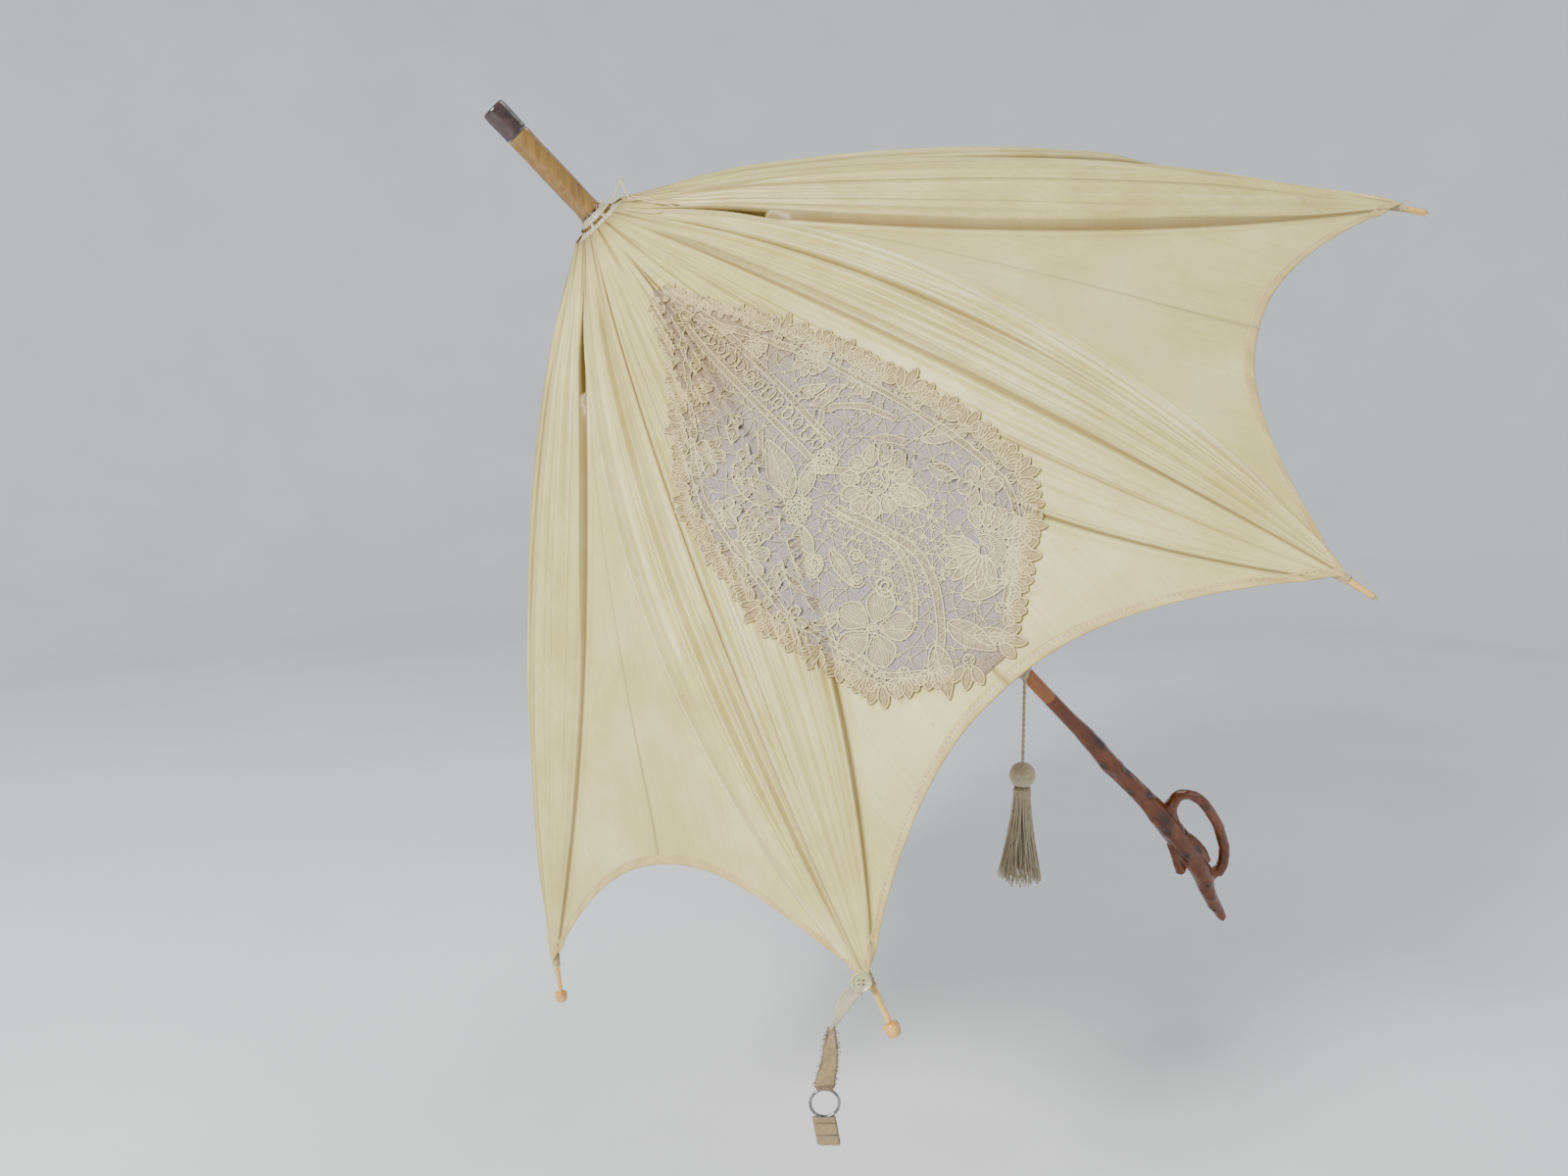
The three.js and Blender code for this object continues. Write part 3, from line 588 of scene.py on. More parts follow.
def stretchOver(piece, gore, end):
    # the piece's placement is baked into its mesh; the rib and half-gore points worked out here are not used
    rib, first, second = halfBodies(gore, end)
    start, stop = onRib(rib - 1, 300.0, 6.0), onGore(gore, 300.0, 0.0)
    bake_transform(piece)


# the lace panel: its edges either side of the gore's seam, in millimetres from it
lace = {"gore": 2,
        "leftEdge": [(84, 2), (112, 12), (152, 30), (182, 43), (210, 54), (264, 69), (310, 78), (340, 79), (362, 68),
                     (374, 52), (392, 30), (404, 14), (410, 4)],
        "rightEdge": [(84, 4), (104, 11), (126, 18), (150, 30), (173, 42), (198, 58), (221, 69), (260, 73), (311, 74),
                      (350, 62), (377, 54), (388, 34), (396, 18), (410, 4)],
        "behind": 8.0, "netLift": 0.5, "netInset": 2.5, "netThick": 0.2, "netFrom": (86, 406), "netGrid": (110, 30),
        "threadLift": 1.1, "flat": (0.08, 0.322)}


def laceEdge(along, end):
    table = lace["leftEdge"] if end < 0 else lace["rightEdge"]
    return np.interp(along, [p[0] for p in table], [p[1] for p in table])


def insideLace(along, aside, margin):
    end = np.where(aside < 0, -1, 1)
    edge = np.where(end < 0, laceEdge(along, -1), laceEdge(along, 1))
    return (np.abs(aside) < edge - margin) & (along > 84 + 2 * margin) & (along < 408 - margin)


facetColumns = [0, 0.03, 0.1, 0.2, 0.3, 0.4, 0.5, 0.6, 0.69, 0.77, 0.84, 0.89, 0.93, 0.955, 0.973, 0.985, 0.994]
foldColumns = [0, 0.008, 0.018, 0.032, 0.05] + [0.05 + 0.95 * (i + 1) / 42 for i in range(42)]


def silkGrid(end):
    # columns fan from the crown: the middle facet first, then the folds between crease and rib
    columns = [("facet", t) for t in facetColumns] + [("fold", t) for t in foldColumns]
    alongs, offs = [], []
    for kind, t in columns:
        def offOf(along):
            c = creaseAt(along)
            return t * c if kind == "facet" else c + t * (1 - c)
        stop = 440.0
        for _ in range(40):
            stop = hemAt(offOf(stop))
        along = canopy["clothStart"] + (stop - 1.0 - canopy["clothStart"]) * np.linspace(0, 1, canopy["rows"]) ** 0.96
        alongs.append(along)
        offs.append(offOf(along) * end)
    return np.array(alongs).T, np.array(offs).T


def makeSilk(gore, end):
    rib, _, goreBody = halfBodies(gore, end)
    along, off = silkGrid(end)
    rows, columns = along.shape
    points = onGore(gore, along, off).reshape(-1, 3)
    line = silkShape(gore, along, off)[1].ravel()
    aside = off * halfWidth(along)
    faces = []
    for i in range(rows - 1):
        for j in range(columns - 1):
            a, b, c, d = i * columns + j, i * columns + j + 1, (i + 1) * columns + j + 1, (i + 1) * columns + j
            if gore == lace["gore"] and insideLace(along[i:i + 2, j:j + 2].mean(), aside[i:i + 2, j:j + 2].mean(),
                                                   lace["behind"]):
                continue
            faces.append((a, b, c, d) if end < 0 else (a, d, c, b))
    uv = np.stack([aside.ravel() * mm, along.ravel() * mm], -1)
    piece = addPiece("silk_%d_%s" % (rib, "right" if end < 0 else "left"), points, faces, "silk", uv=uv,
                     values={"crease": line})
    stretchOver(piece, gore, end)
    solid = piece.modifiers.new("cloth", "SOLIDIFY")
    solid.thickness, solid.offset = canopy["thickness"] * mm, 0.0
    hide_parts(goreBody)
    area = sum(face.area for face in piece.data.polygons)
    return piece, area


hemLook = {"stitch": 1.7, "gap": 1.1, "thread": 0.28, "thickness": 0.95}


def makeHem(gore, end):
    # a rolled edge with a row of running stitches
    off = np.concatenate([np.linspace(0, 0.9, 46), 0.9 + 0.1 * np.linspace(0, 1, 22)[1:]])
    edge = hemAt(off)
    spin = random.Random(40 + gore * 2 + end)
    wobble = np.array([spin.uniform(-0.5, 0.5) for _ in off])
    wobble = np.convolve(wobble, (0.25, 0.5, 0.25), "same")
    width = canopy["hemWidth"]
    profile = [(-0.3, 0.0), (0.0, 0.5), (0.8, 0.62), (width * 0.5, 0.42), (width - 0.7, 0.6), (width, 0.1),
               (width, -0.3), (width * 0.5, -0.35), (0.8, -0.5), (0.0, -0.4)]
    rings = []
    for inset, up in profile:
        rings.append(onGore(gore, edge - 0.6 - (inset + 0.25 * wobble) * 1.25, off * end, up * hemLook["thickness"]))
    rings = np.array(rings).transpose(1, 0, 2)
    n, m = rings.shape[:2]
    faces = gridFaces(n, m, closed=True, flip=end > 0)
    faces += [list(range(m)), [(n - 1) * m + q for q in range(m)]]
    parts = [(rings.reshape(-1, 3), faces)]
    offAll = [np.repeat(off, m)]
    span = np.concatenate([[0], np.cumsum(np.linalg.norm(np.diff(onGore(gore, edge, off * end), axis=0),
                                                         axis=1))]) / mm
    walk = 2.0
    kinds = [0] * len(faces)
    while walk < span[-1] - 3:
        o = np.interp([walk, walk + hemLook["stitch"] / 2, walk + hemLook["stitch"]], span, off)
        lift = np.array([0.45, 0.8, 0.45])
        line = onGore(gore, hemAt(o) - 0.6 - (width - 1.2) * 1.25, o * end, lift)
        parts.append(tube(line, hemLook["thread"] * mm, 4))
        offAll.append(np.repeat(o, 4))
        kinds += [1] * len(parts[-1][1])
        walk += hemLook["stitch"] + hemLook["gap"] * spin.uniform(0.8, 1.3)
    points, faces = gather(parts)
    offAll = np.concatenate(offAll)
    uv = np.stack([offAll * 0.16, offAll * 0.05 + np.arange(len(points)) % m * 0.001], -1)
    rib = halfBodies(gore, end)[0]
    piece = addPiece("hem_%d_%s" % (rib, "right" if end < 0 else "left"), points, faces, ["hem", "stitch"], uv=uv,
                     values={"crease": 0.12 + 0.1 * np.sin(np.arange(len(points)) * 0.7)}, faceFinish=kinds)
    stretchOver(piece, gore, end)
    return piece


def makeCanopy():
    for gore in range(8):
        for end in (-1, 1):
            hem = makeHem(gore, end)
            piece, area = makeSilk(gore, end)


makeCanopy()
print("canopy made")


# lace: tape motifs, threads and bars over a fine net
class LaceWork:
    def __init__(self):
        self.threads = {-1: [], 1: []}
        self.patches = {-1: [], 1: []}

    def thread(self, line, girth=0.42, lift=0.0):
        line = np.asarray(line, float)
        end = -1 if line[:, 1].mean() < 0 else 1
        self.threads[end].append((line, girth, lift))

    def patch(self, line, lift=0.0):
        line = np.asarray(line, float)
        end = -1 if line[:, 1].mean() < 0 else 1
        self.patches[end].append((line, lift))


def turnOf(centre, along, aside, heading):
    # a motif's own places, laid at centre and turned to heading (degrees from down the gore)
    a = math.radians(heading)
    along, aside = np.asarray(along, float), np.asarray(aside, float)
    return np.stack([centre[0] + along * math.cos(a) - aside * math.sin(a),
                     centre[1] + along * math.sin(a) + aside * math.cos(a)], -1)


def ringAt(work, centre, radius, girth=0.42, squeeze=1.0, heading=0, lift=0.2):
    t = np.linspace(0, 2 * math.pi, max(9, int(radius * 4) + 6))
    work.thread(turnOf(centre, radius * np.cos(t), radius * squeeze * np.sin(t), heading), girth, lift)


def dotRing(work, centre, radius, count, squeeze=1.0, heading=0, dot=0.8, arc=360, start=0):
    for k in range(count):
        t = math.radians(start + arc * k / (count if arc == 360 else max(count - 1, 1)))
        place = turnOf(centre, radius * math.cos(t), radius * squeeze * math.sin(t), heading)
        ringAt(work, place, dot, 0.34, lift=0.35)


def petal(work, centre, inner, outer, width, heading, veins=3, blunt=0.5, filled=True):
    t = np.linspace(0, 1, 15)
    long = inner + (outer - inner) * t
    wide = width / 2 * np.sin(math.pi * t ** (0.55 + 0.9 * blunt)) ** 0.7
    left, right = turnOf(centre, long, wide, heading), turnOf(centre, long[::-1], -wide[::-1], heading)
    edge = np.vstack([left, right])
    work.thread(edge, 0.55, 0.3)
    if filled:
        work.patch(edge[1:-1])
    for v in range(veins):
        spread = (v - (veins - 1) / 2) / max(veins, 1) * 1.1
        work.thread(turnOf(centre, long[1:-1], wide[1:-1] * spread, heading), 0.27, 0.3)


def flower(work, centre, inner, outer, petals, width, heading=0, arc=360, squeeze=1.0, dots=9, veins=3):
    for k in range(petals):
        t = heading + (arc * k / petals if arc == 360 else -arc / 2 + arc * k / (petals - 1))
        reach = 1 - (1 - squeeze) * abs(math.sin(math.radians(t - heading)))
        petal(work, centre, inner * 1.15 * reach, outer * reach, width, t, veins, 0.75)
    ringAt(work, centre, inner, 0.5, squeeze, heading)
    ringAt(work, centre, inner * 0.55, 0.4, squeeze, heading)
    dotRing(work, centre, inner * 0.8, dots, squeeze, heading)
    dotRing(work, centre, inner * 0.25, 3, squeeze, heading, 0.6)


def leaf(work, centre, length, width, heading, veins=6):
    t = np.linspace(0, 1, 16)
    wide = width / 2 * np.sin(math.pi * t ** 0.8) ** 0.9
    edge = np.vstack([turnOf(centre, length * t, wide, heading),
                      turnOf(centre, length * t[::-1], -wide[::-1], heading)])
    work.thread(edge, 0.52, 0.3)
    work.patch(edge[1:-1])
    work.thread(turnOf(centre, length * t, 0 * t, heading), 0.4, 0.35)
    for k in range(veins):
        a = (k + 1) / (veins + 2)
        b = min(a + 0.16, 0.97)
        reach = width / 2 * math.sin(math.pi * b ** 0.8) ** 0.9 * 0.9
        for s in (-1, 1):
            work.thread(turnOf(centre, np.array([length * a, length * b]), np.array([0, s * reach]), heading), 0.25,
                        0.3)


def tape(work, knots, width=3.4, pitch=1.3, filled=True):
    line = smoothCurve(knots, max(12,
                                  int(np.linalg.norm(np.diff(np.array(knots, float), axis=0), axis=1).sum() / 2.2)))
    along = unit(np.gradient(line, axis=0))
    across = np.stack([-along[:, 1], along[:, 0]], -1)
    left, right = line + across * width / 2, line - across * width / 2
    work.thread(left, 0.46, 0.3)
    work.thread(right, 0.46, 0.3)
    if filled:
        for i in range(len(line) - 1):
            work.patch([left[i], left[i + 1], right[i + 1], right[i]])
    length = np.linalg.norm(np.diff(line, axis=0), axis=1).sum()
    count = int(length / pitch)
    spots = np.linspace(0, len(line) - 1, count)
    grid = np.arange(len(line))
    zig = []
    for k, s in enumerate(spots):
        side = left if k % 2 else right
        zig.append([np.interp(s, grid, side[:, 0]), np.interp(s, grid, side[:, 1])])
    if len(zig) > 2:
        work.thread(zig, 0.26, 0.35)


def spiral(work, centre, radius, turns=2.2, heading=0):
    t = np.linspace(0, 1, 40)
    r = radius * (1 - 0.85 * t)
    a = t * turns * 2 * math.pi
    work.thread(turnOf(centre, r * np.cos(a), r * np.sin(a), heading), 0.55, 0.35)


def bars(work, box, spacing, keep, spin):
    # the thin bars between motifs, a loose honeycomb with little stars where they meet
    low, high, left, right = box
    spots = {}
    rows, columns = int((high - low) / spacing) + 2, int((right - left) / spacing) + 2
    for i in range(rows):
        for j in range(columns):
            spots[i, j] = (low + i * spacing + spin.uniform(-0.3, 0.3) * spacing,
                           left + (j + 0.5 * (i % 2)) * spacing + spin.uniform(-0.3, 0.3) * spacing)
    for (i, j), p in spots.items():
        for other in ((i, j + 1), (i + 1, j), (i + 1, j + (1 if i % 2 else -1))):
            if other in spots and keep(*p) and keep(*spots[other]) and spin.random() < 0.9:
                q = spots[other]
                middle = ((p[0] + q[0]) / 2 + spin.uniform(-0.4, 0.4), (p[1] + q[1]) / 2 + spin.uniform(-0.4, 0.4))
                work.thread([p, middle, q], 0.27, 0.1)
        if keep(*p) and spin.random() < 0.7:
            for k in range(6):
                a = k * math.pi / 3 + spin.random()
                work.thread([p, (p[0] + 1.7 * math.cos(a), p[1] + 1.7 * math.sin(a))], 0.24, 0.15)


def drawLace(work):
    spin = random.Random(77)
    # border: fans of petals all round, longer and looser at the wide part
    for end in (-1, 1):
        stops = np.linspace(92, 404, 400)
        edge = np.stack([stops, end * laceEdge(stops, end)], -1)
        walked = np.concatenate([[0], np.cumsum(np.linalg.norm(np.diff(edge, axis=0), axis=1))])
        s, k = 3.0, 0
        while s < walked[-1] - 2:
            place = np.array([np.interp(s, walked, edge[:, i]) for i in (0, 1)])
            ahead = np.array([np.interp(min(s + 3, walked[-1]), walked, edge[:, i]) for i in (0, 1)])
            go = unit(ahead - place + 1e-9)
            out = np.array([-go[1], go[0]]) * end
            heading = math.degrees(math.atan2(out[1], out[0]))
            size = 1.0 if place[0] > 160 else 0.62
            root = place - out * 9.5 * size
            fan = 5 if k % 3 else 3
            for m in range(fan):
                lean = (m - (fan - 1) / 2) * (25 if fan == 5 else 34)
                reach = (13.5 if fan == 5 else 15.5) * size * (1 - 0.05 * abs(m - (fan - 1) / 2)) * spin.uniform(0.92,
                        1.08)
                petal(work, root, 3.4 * size, reach, 5.4 * size, heading + lean, 2, 0.7)
            ringAt(work, root, 2.8 * size, 0.5)
            dotRing(work, root, 1.6 * size, 5, dot=0.55)
            s += (15.5 if fan == 5 else 12.5) * size
            k += 1
        inner = [(a, end * max(laceEdge(a, end) - 13, 1.5)) for a in np.linspace(112, 386, 20)]
        tape(work, inner, 3.0)
    # ladder of openwork down the top of the panel
    for k, a in enumerate(np.linspace(118, 246, 15)):
        b = -4 - 6 * (a - 118) / 128
        ringAt(work, (a, b), 3.5 if k % 4 == 1 else 2.6, 0.5, 1.35, 8, 0.35)
        work.thread([(a - 4, b - 4.2), (a - 2.5, b), (a - 4, b + 4.2)], 0.4, 0.3)
    for shift in (-7.0, 7.0):
        tape(work, [(104, -3 + shift * 0.3), (140, -5 + shift), (190, -7 + shift * 1.1), (250, -9 + shift)], 3.2)
    dotRing(work, (184, -6), 2.4, 8)
    # blooms
    flower(work, (287, -19), 7.5, 20.5, 11, 9.0, 12, dots=12)
    flower(work, (257, -6), 4.2, 7.5, 9, 3.6, 0, dots=7, veins=1)
    flower(work, (299, 35), 4.6, 7.6, 9, 3.6, 60, squeeze=0.8, dots=7, veins=1)
    flower(work, (268, 22), 4.6, 8.0, 10, 3.2, 0, dots=8, veins=1)
    for heading, length, width in ((196, 40, 15), (160, 36, 13), (28, 30, 12), (100, 26, 11), (236, 22, 9)):
        leaf(work, turnOf((268, 22), 8.2, 0, heading), length, width, heading)
    # half flower at the wide corner
    centre = (357, -35)
    for k in range(9):
        petal(work, centre, 12, 24.5, 8.2, -150 + 17.5 * k, 3, 0.75)
    for r in (5.5, 8.5, 11.5):
        t = np.radians(np.linspace(-160, 0, 24))
        work.thread(turnOf(centre, r * np.cos(t), r * np.sin(t), 0), 0.48, 0.35)
        dotRing(work, centre, r - 1.6, int(r * 1.7), arc=150, start=-155, dot=0.7)
    for k in range(7):
        petal(work, centre, 2, 21, 6.2, 24 + 22 * k, 2, 0.4)
    # five-petal bloom and stars
    flower(work, (348, 32), 2.6, 22, 5, 15, 20, dots=4, veins=5)
    flower(work, (270, 58), 2.4, 14, 6, 7.5, 0, dots=4, veins=3)
    flower(work, (316, 62), 2.2, 10, 5, 6.5, 30, dots=4, veins=2)
    flower(work, (330, -56), 2.4, 12, 6, 7, 10, dots=4, veins=2)
    flower(work, (205, -38), 3.6, 11, 9, 5.4, 30, dots=6, veins=2)
    flower(work, (238, -52), 3.4, 12, 9, 6.0, 0, dots=6, veins=2)
    flower(work, (204, 40), 2.6, 12, 6, 7.2, 15, dots=4, veins=2)
    flower(work, (168, 20), 2.2, 8, 6, 5.2, 0, dots=4, veins=2)
    flower(work, (172, -20), 2.2, 8, 6, 5.2, 30, dots=4, veins=2)
    flower(work, (240, 52), 2.4, 10, 6, 6.4, 0, dots=4, veins=2)
    for place, radius in (((335, 13), 6.2), ((311, 14), 4.6), ((322, 22), 4.2), ((326, 5), 3.2)):
        spiral(work, place, radius, heading=place[0])
    # curved tapes
    tape(work, [(282, 6), (302, -2), (330, -10), (352, -6), (372, 6), (384, 18)], 4.2)
    tape(work, [(276, 10), (296, 4), (322, -4), (344, 2), (360, 14)], 3.0)
    tape(work, [(252, 4), (264, -6), (276, -18), (270, -34), (284, -44)], 3.6)
    tape(work, [(240, -12), (236, -26), (250, -40), (270, -48)], 3.0)
    tape(work, [(288, 48), (312, 46), (334, 50), (352, 58)], 2.8)
    tape(work, [(214, 8), (230, 20), (240, 34), (236, 44)], 3.0)
    # leaves
    for place, length, width, heading in (((372, 2), 30, 12, -18), ((376, 14), 30, 12, 24), ((366, -12), 26, 10, -62),
                                          ((262, -58), 22, 9, -40),
                                          ((288, -50), 26, 10, -58), ((302, -44), 20, 8, -20), ((218, 18), 24, 9, 60),
                                          ((196, 12), 20, 7, 40),
                                          ((214, -14), 22, 8, -64), ((228, -20), 22, 8, -80), ((250, 34), 24, 9, 70),
                                          ((286, 44), 20, 8, 60),
                                          ((356, 44), 18, 8, 70), ((330, 40), 18, 7, 100), ((144, 4), 18, 6, 40),
                                          ((140, -6), 18, 6, -40),
                                          ((300, -20), 18, 7, -30), ((318, -30), 20, 8, 170), ((386, -4), 22, 9, -40),
                                          ((298, 22), 26, 7, 8)):
        leaf(work, place, length, width, heading)
    # bars where the ground is open
    bars(work, (286, 352, -34, 8), 5.2, lambda a, b: True, spin)
    bars(work, (255, 400, -70, 66), 7.5, lambda a, b: insideLace(np.array(a), np.array(b), 10.0), spin)
    bars(work, (120, 255, -60, 60), 8.0, lambda a, b: insideLace(np.array(a), np.array(b), 10.0), spin)


def ageAt(along, aside):
    # tan round the border and at the narrow top, paler in the middle
    end = np.where(aside < 0, -1, 1)
    edge = np.where(end < 0, laceEdge(along, -1), laceEdge(along, 1))
    rim = rise(np.abs(aside) / np.maximum(edge, 1), 0.72, 1.0) * 0.75
    top = rise(-along, -235, -150) * 0.75
    low = rise(along, 372, 410) * 0.6
    return np.clip(np.maximum(np.maximum(rim, top), low) + 0.08 * np.sin(along * 0.21) * np.sin(aside * 0.17), 0, 1)


def lacePoint(places, lift):
    along, aside = places[..., 0], places[..., 1]
    return onGore(lace["gore"], along, aside / halfWidth(along), lift)


def makeLace():
    work = LaceWork()
    drawLace(work)
    steady = np.cross(sideAxis, acrossAxis) * 0.3 + 0.7 * np.cross(onRib(2, 9.0, 0.0) - onRib(3, 9.0, 0.0),
            stickDown) + 1e-6
    for end in (-1, 1):
        side = "left" if end < 0 else "right"
        parts, flat = [], []
        for line, girth, lift in work.threads[end]:
            middle = lacePoint(line, lace["threadLift"] + lift)
            parts.append(tube(middle, girth * mm, 4, ref=steady))
            flat.append(np.repeat(line, 4, axis=0))
        points, faces = gather(parts)
        flat = np.concatenate(flat)
        threads = addPiece("laceThreads_" + side, points, faces, "lace", uv=flat * mm,
                           values={"age": ageAt(flat[:, 0], flat[:, 1])})
        stretchOver(threads, lace["gore"], end)
        parts, flat = [], []
        for line, lift in work.patches[end]:
            centre = line.mean(0, keepdims=True)
            if len(line) == 4:
                parts.append((lacePoint(line, lace["threadLift"] - 0.15 + lift), [[0, 1, 2, 3]]))
                flat.append(line)
                continue
            inner = centre + (line - centre) * 0.5
            whole = np.vstack([line, inner, centre])
            n = len(line)
            lifts = np.concatenate([np.full(n, -0.2), np.full(n, 0.25), [0.3]])
            f = [[i, (i + 1) % n, n + (i + 1) % n, n + i] for i in range(n)] + [[n + i, n + (i + 1) % n, 2 * n]
                    for i in range(n)]
            parts.append((lacePoint(whole, lace["threadLift"] - 0.1 + lift + lifts), f))
            flat.append(whole)
        points, faces = gather(parts)
        flat = np.concatenate(flat)
        tapes = addPiece("laceTape_" + side, points, faces, "laceCloth", uv=flat * mm,
                         values={"age": np.clip(ageAt(flat[:, 0], flat[:, 1]) + 0.08, 0, 1)})
        stretchOver(tapes, lace["gore"], end)
        # the net under them
        rows, columns = lace["netGrid"]
        along = np.linspace(*lace["netFrom"], rows)[:, None] * np.ones(columns)
        aside = end * (laceEdge(along, end) - lace["netInset"]).clip(0.6) * np.linspace(0, 1, columns)
        points = onGore(lace["gore"], along, aside / halfWidth(along), lace["netLift"]).reshape(-1, 3)
        faces = gridFaces(rows, columns, flip=end > 0)
        flat = np.stack([along.ravel(), aside.ravel()], -1)
        dense = np.maximum(ageAt(flat[:, 0], flat[:, 1]), 0.55)
        net = addPiece("laceNet_" + side, points, faces, "net", uv=flat * mm,
                       values={"age": ageAt(flat[:, 0], flat[:, 1]), "thin": dense})
        stretchOver(net, lace["gore"], end)
        solid = net.modifiers.new("net", "SOLIDIFY")
        solid.thickness, solid.offset = lace["netThick"] * mm, 0.0
        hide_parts("lace_panel_" + side)


makeLace()
print("lace made")


# rib tips: cane tapers, thread bindings and worn square knobs
tipLook = {"lift": 3.5, "from": 470.0, "root": 1.75, "end": 1.45, "stub": 498.0, "full": 505.0, "knob": 3.7,
           "bind": (477.0, 485.5)}


def makeTips():
    for index in range(8):
        rib = index + 1
        broken = rib in (2, 3)
        stop = tipLook["stub"] if broken else tipLook["full"]
        along = np.linspace(tipLook["from"], stop, 26)
        lift = np.full(len(along), tipLook["lift"])
        if broken:
            lift = lift - 1.2 * rise(along, 488, 498) * (rib == 3)
        girth = np.interp(along, [tipLook["from"], stop],
                          [tipLook["root"], tipLook["end"]]) + 0.05 * np.sin(along * 0.9 + rib)
        parts = [tube(onRib(index, along, lift), girth * mm, 14)]
        kinds = [0] * len(parts[0][1])
        if broken:  # split pale fibres at the break
            spin = random.Random(rib)
            for k in range(9):
                a = spin.random() * 6.28
                across = 0.75 * math.cos(a)
                up = lift[-1] + 0.75 * math.sin(a)
                end = np.array([stop - 1, stop + spin.uniform(0.6, 2.6)])
                parts.append(tube(onRib(index, end, np.array([up, up * 1.02]), np.array([across, across * 1.3])),
                                  0.28 * mm, 5))
                kinds += [1] * len(parts[-1][1])
        tip = addPiece("ribTip_%d" % rib, *gather(parts), ["cane", "button"], faceFinish=kinds)
        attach(tip, "rib_%d" % rib)
        t = np.linspace(0, 1, 220)
        place = tipLook["bind"][0] + (tipLook["bind"][1] - tipLook["bind"][0]) * t
        angle = t * 2 * math.pi * 11
        radius = 2.05 + 0.12 * np.sin(angle * 0.31) + 0.5 * (1 - t)
        coil = tube(onRib(index, place, 3.7 + radius * np.sin(angle), radius * np.cos(angle)), 0.36 * mm, 5)
        tail = tube(smoothCurve([onRib(index, 480.0, 5.9, 0.6), onRib(index, 484.0, 7.4, 2.4),
                                 onRib(index, 488.0, 6.6, 4.0), onRib(index, 493.0, 4.4, 3.2)], 20), 0.22 * mm, 5)
        binding = addPiece("binding_%d" % rib, *gather([coil, tail]), "binding")
        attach(binding, "rib_%d" % rib)
        if not broken:
            outline = [(1.5, 0), (2.9, 0.5), (3.7, 1.6), (3.75, 4.2), (3.3, 6.2), (2.2, 7.6), (0.8, 8.0)]

            def squared(radius, height, angle):
                worn = 1 + 0.14 * np.abs(np.cos(2 * angle)) ** 0.6 * min(1, radius / 3.2)
                return radius * 0.94 * worn * (1 + 0.02 * np.sin(3 * angle + rib))
            foot, top = onRib(index, 504.0, tipLook["lift"]), onRib(index, 512.0, tipLook["lift"])
            outlineFine = smoothCurve(outline, 22).tolist()
            knob = addPiece("ribKnob_%d" % rib, *lathe(outlineFine, 40, foot, top - foot, squeeze=squared), "amber")
            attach(knob, "rib_%d" % rib)
            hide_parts("knob_%d" % rib)


makeTips()
print("rib tips made")


# crown: gathered silk round the ferrule's foot, frayed, with loose threads
crownLook = {"pleats": 34, "pleat": 0.8, "rings": 16, "sides": 204, "foot": 21.5, "narrowing": 13.9, "height": 9.5,
             "thick": 0.4,
             "cord": (9.3, 0.4), "loose": (0.42, 0.34), "frayed": 70}


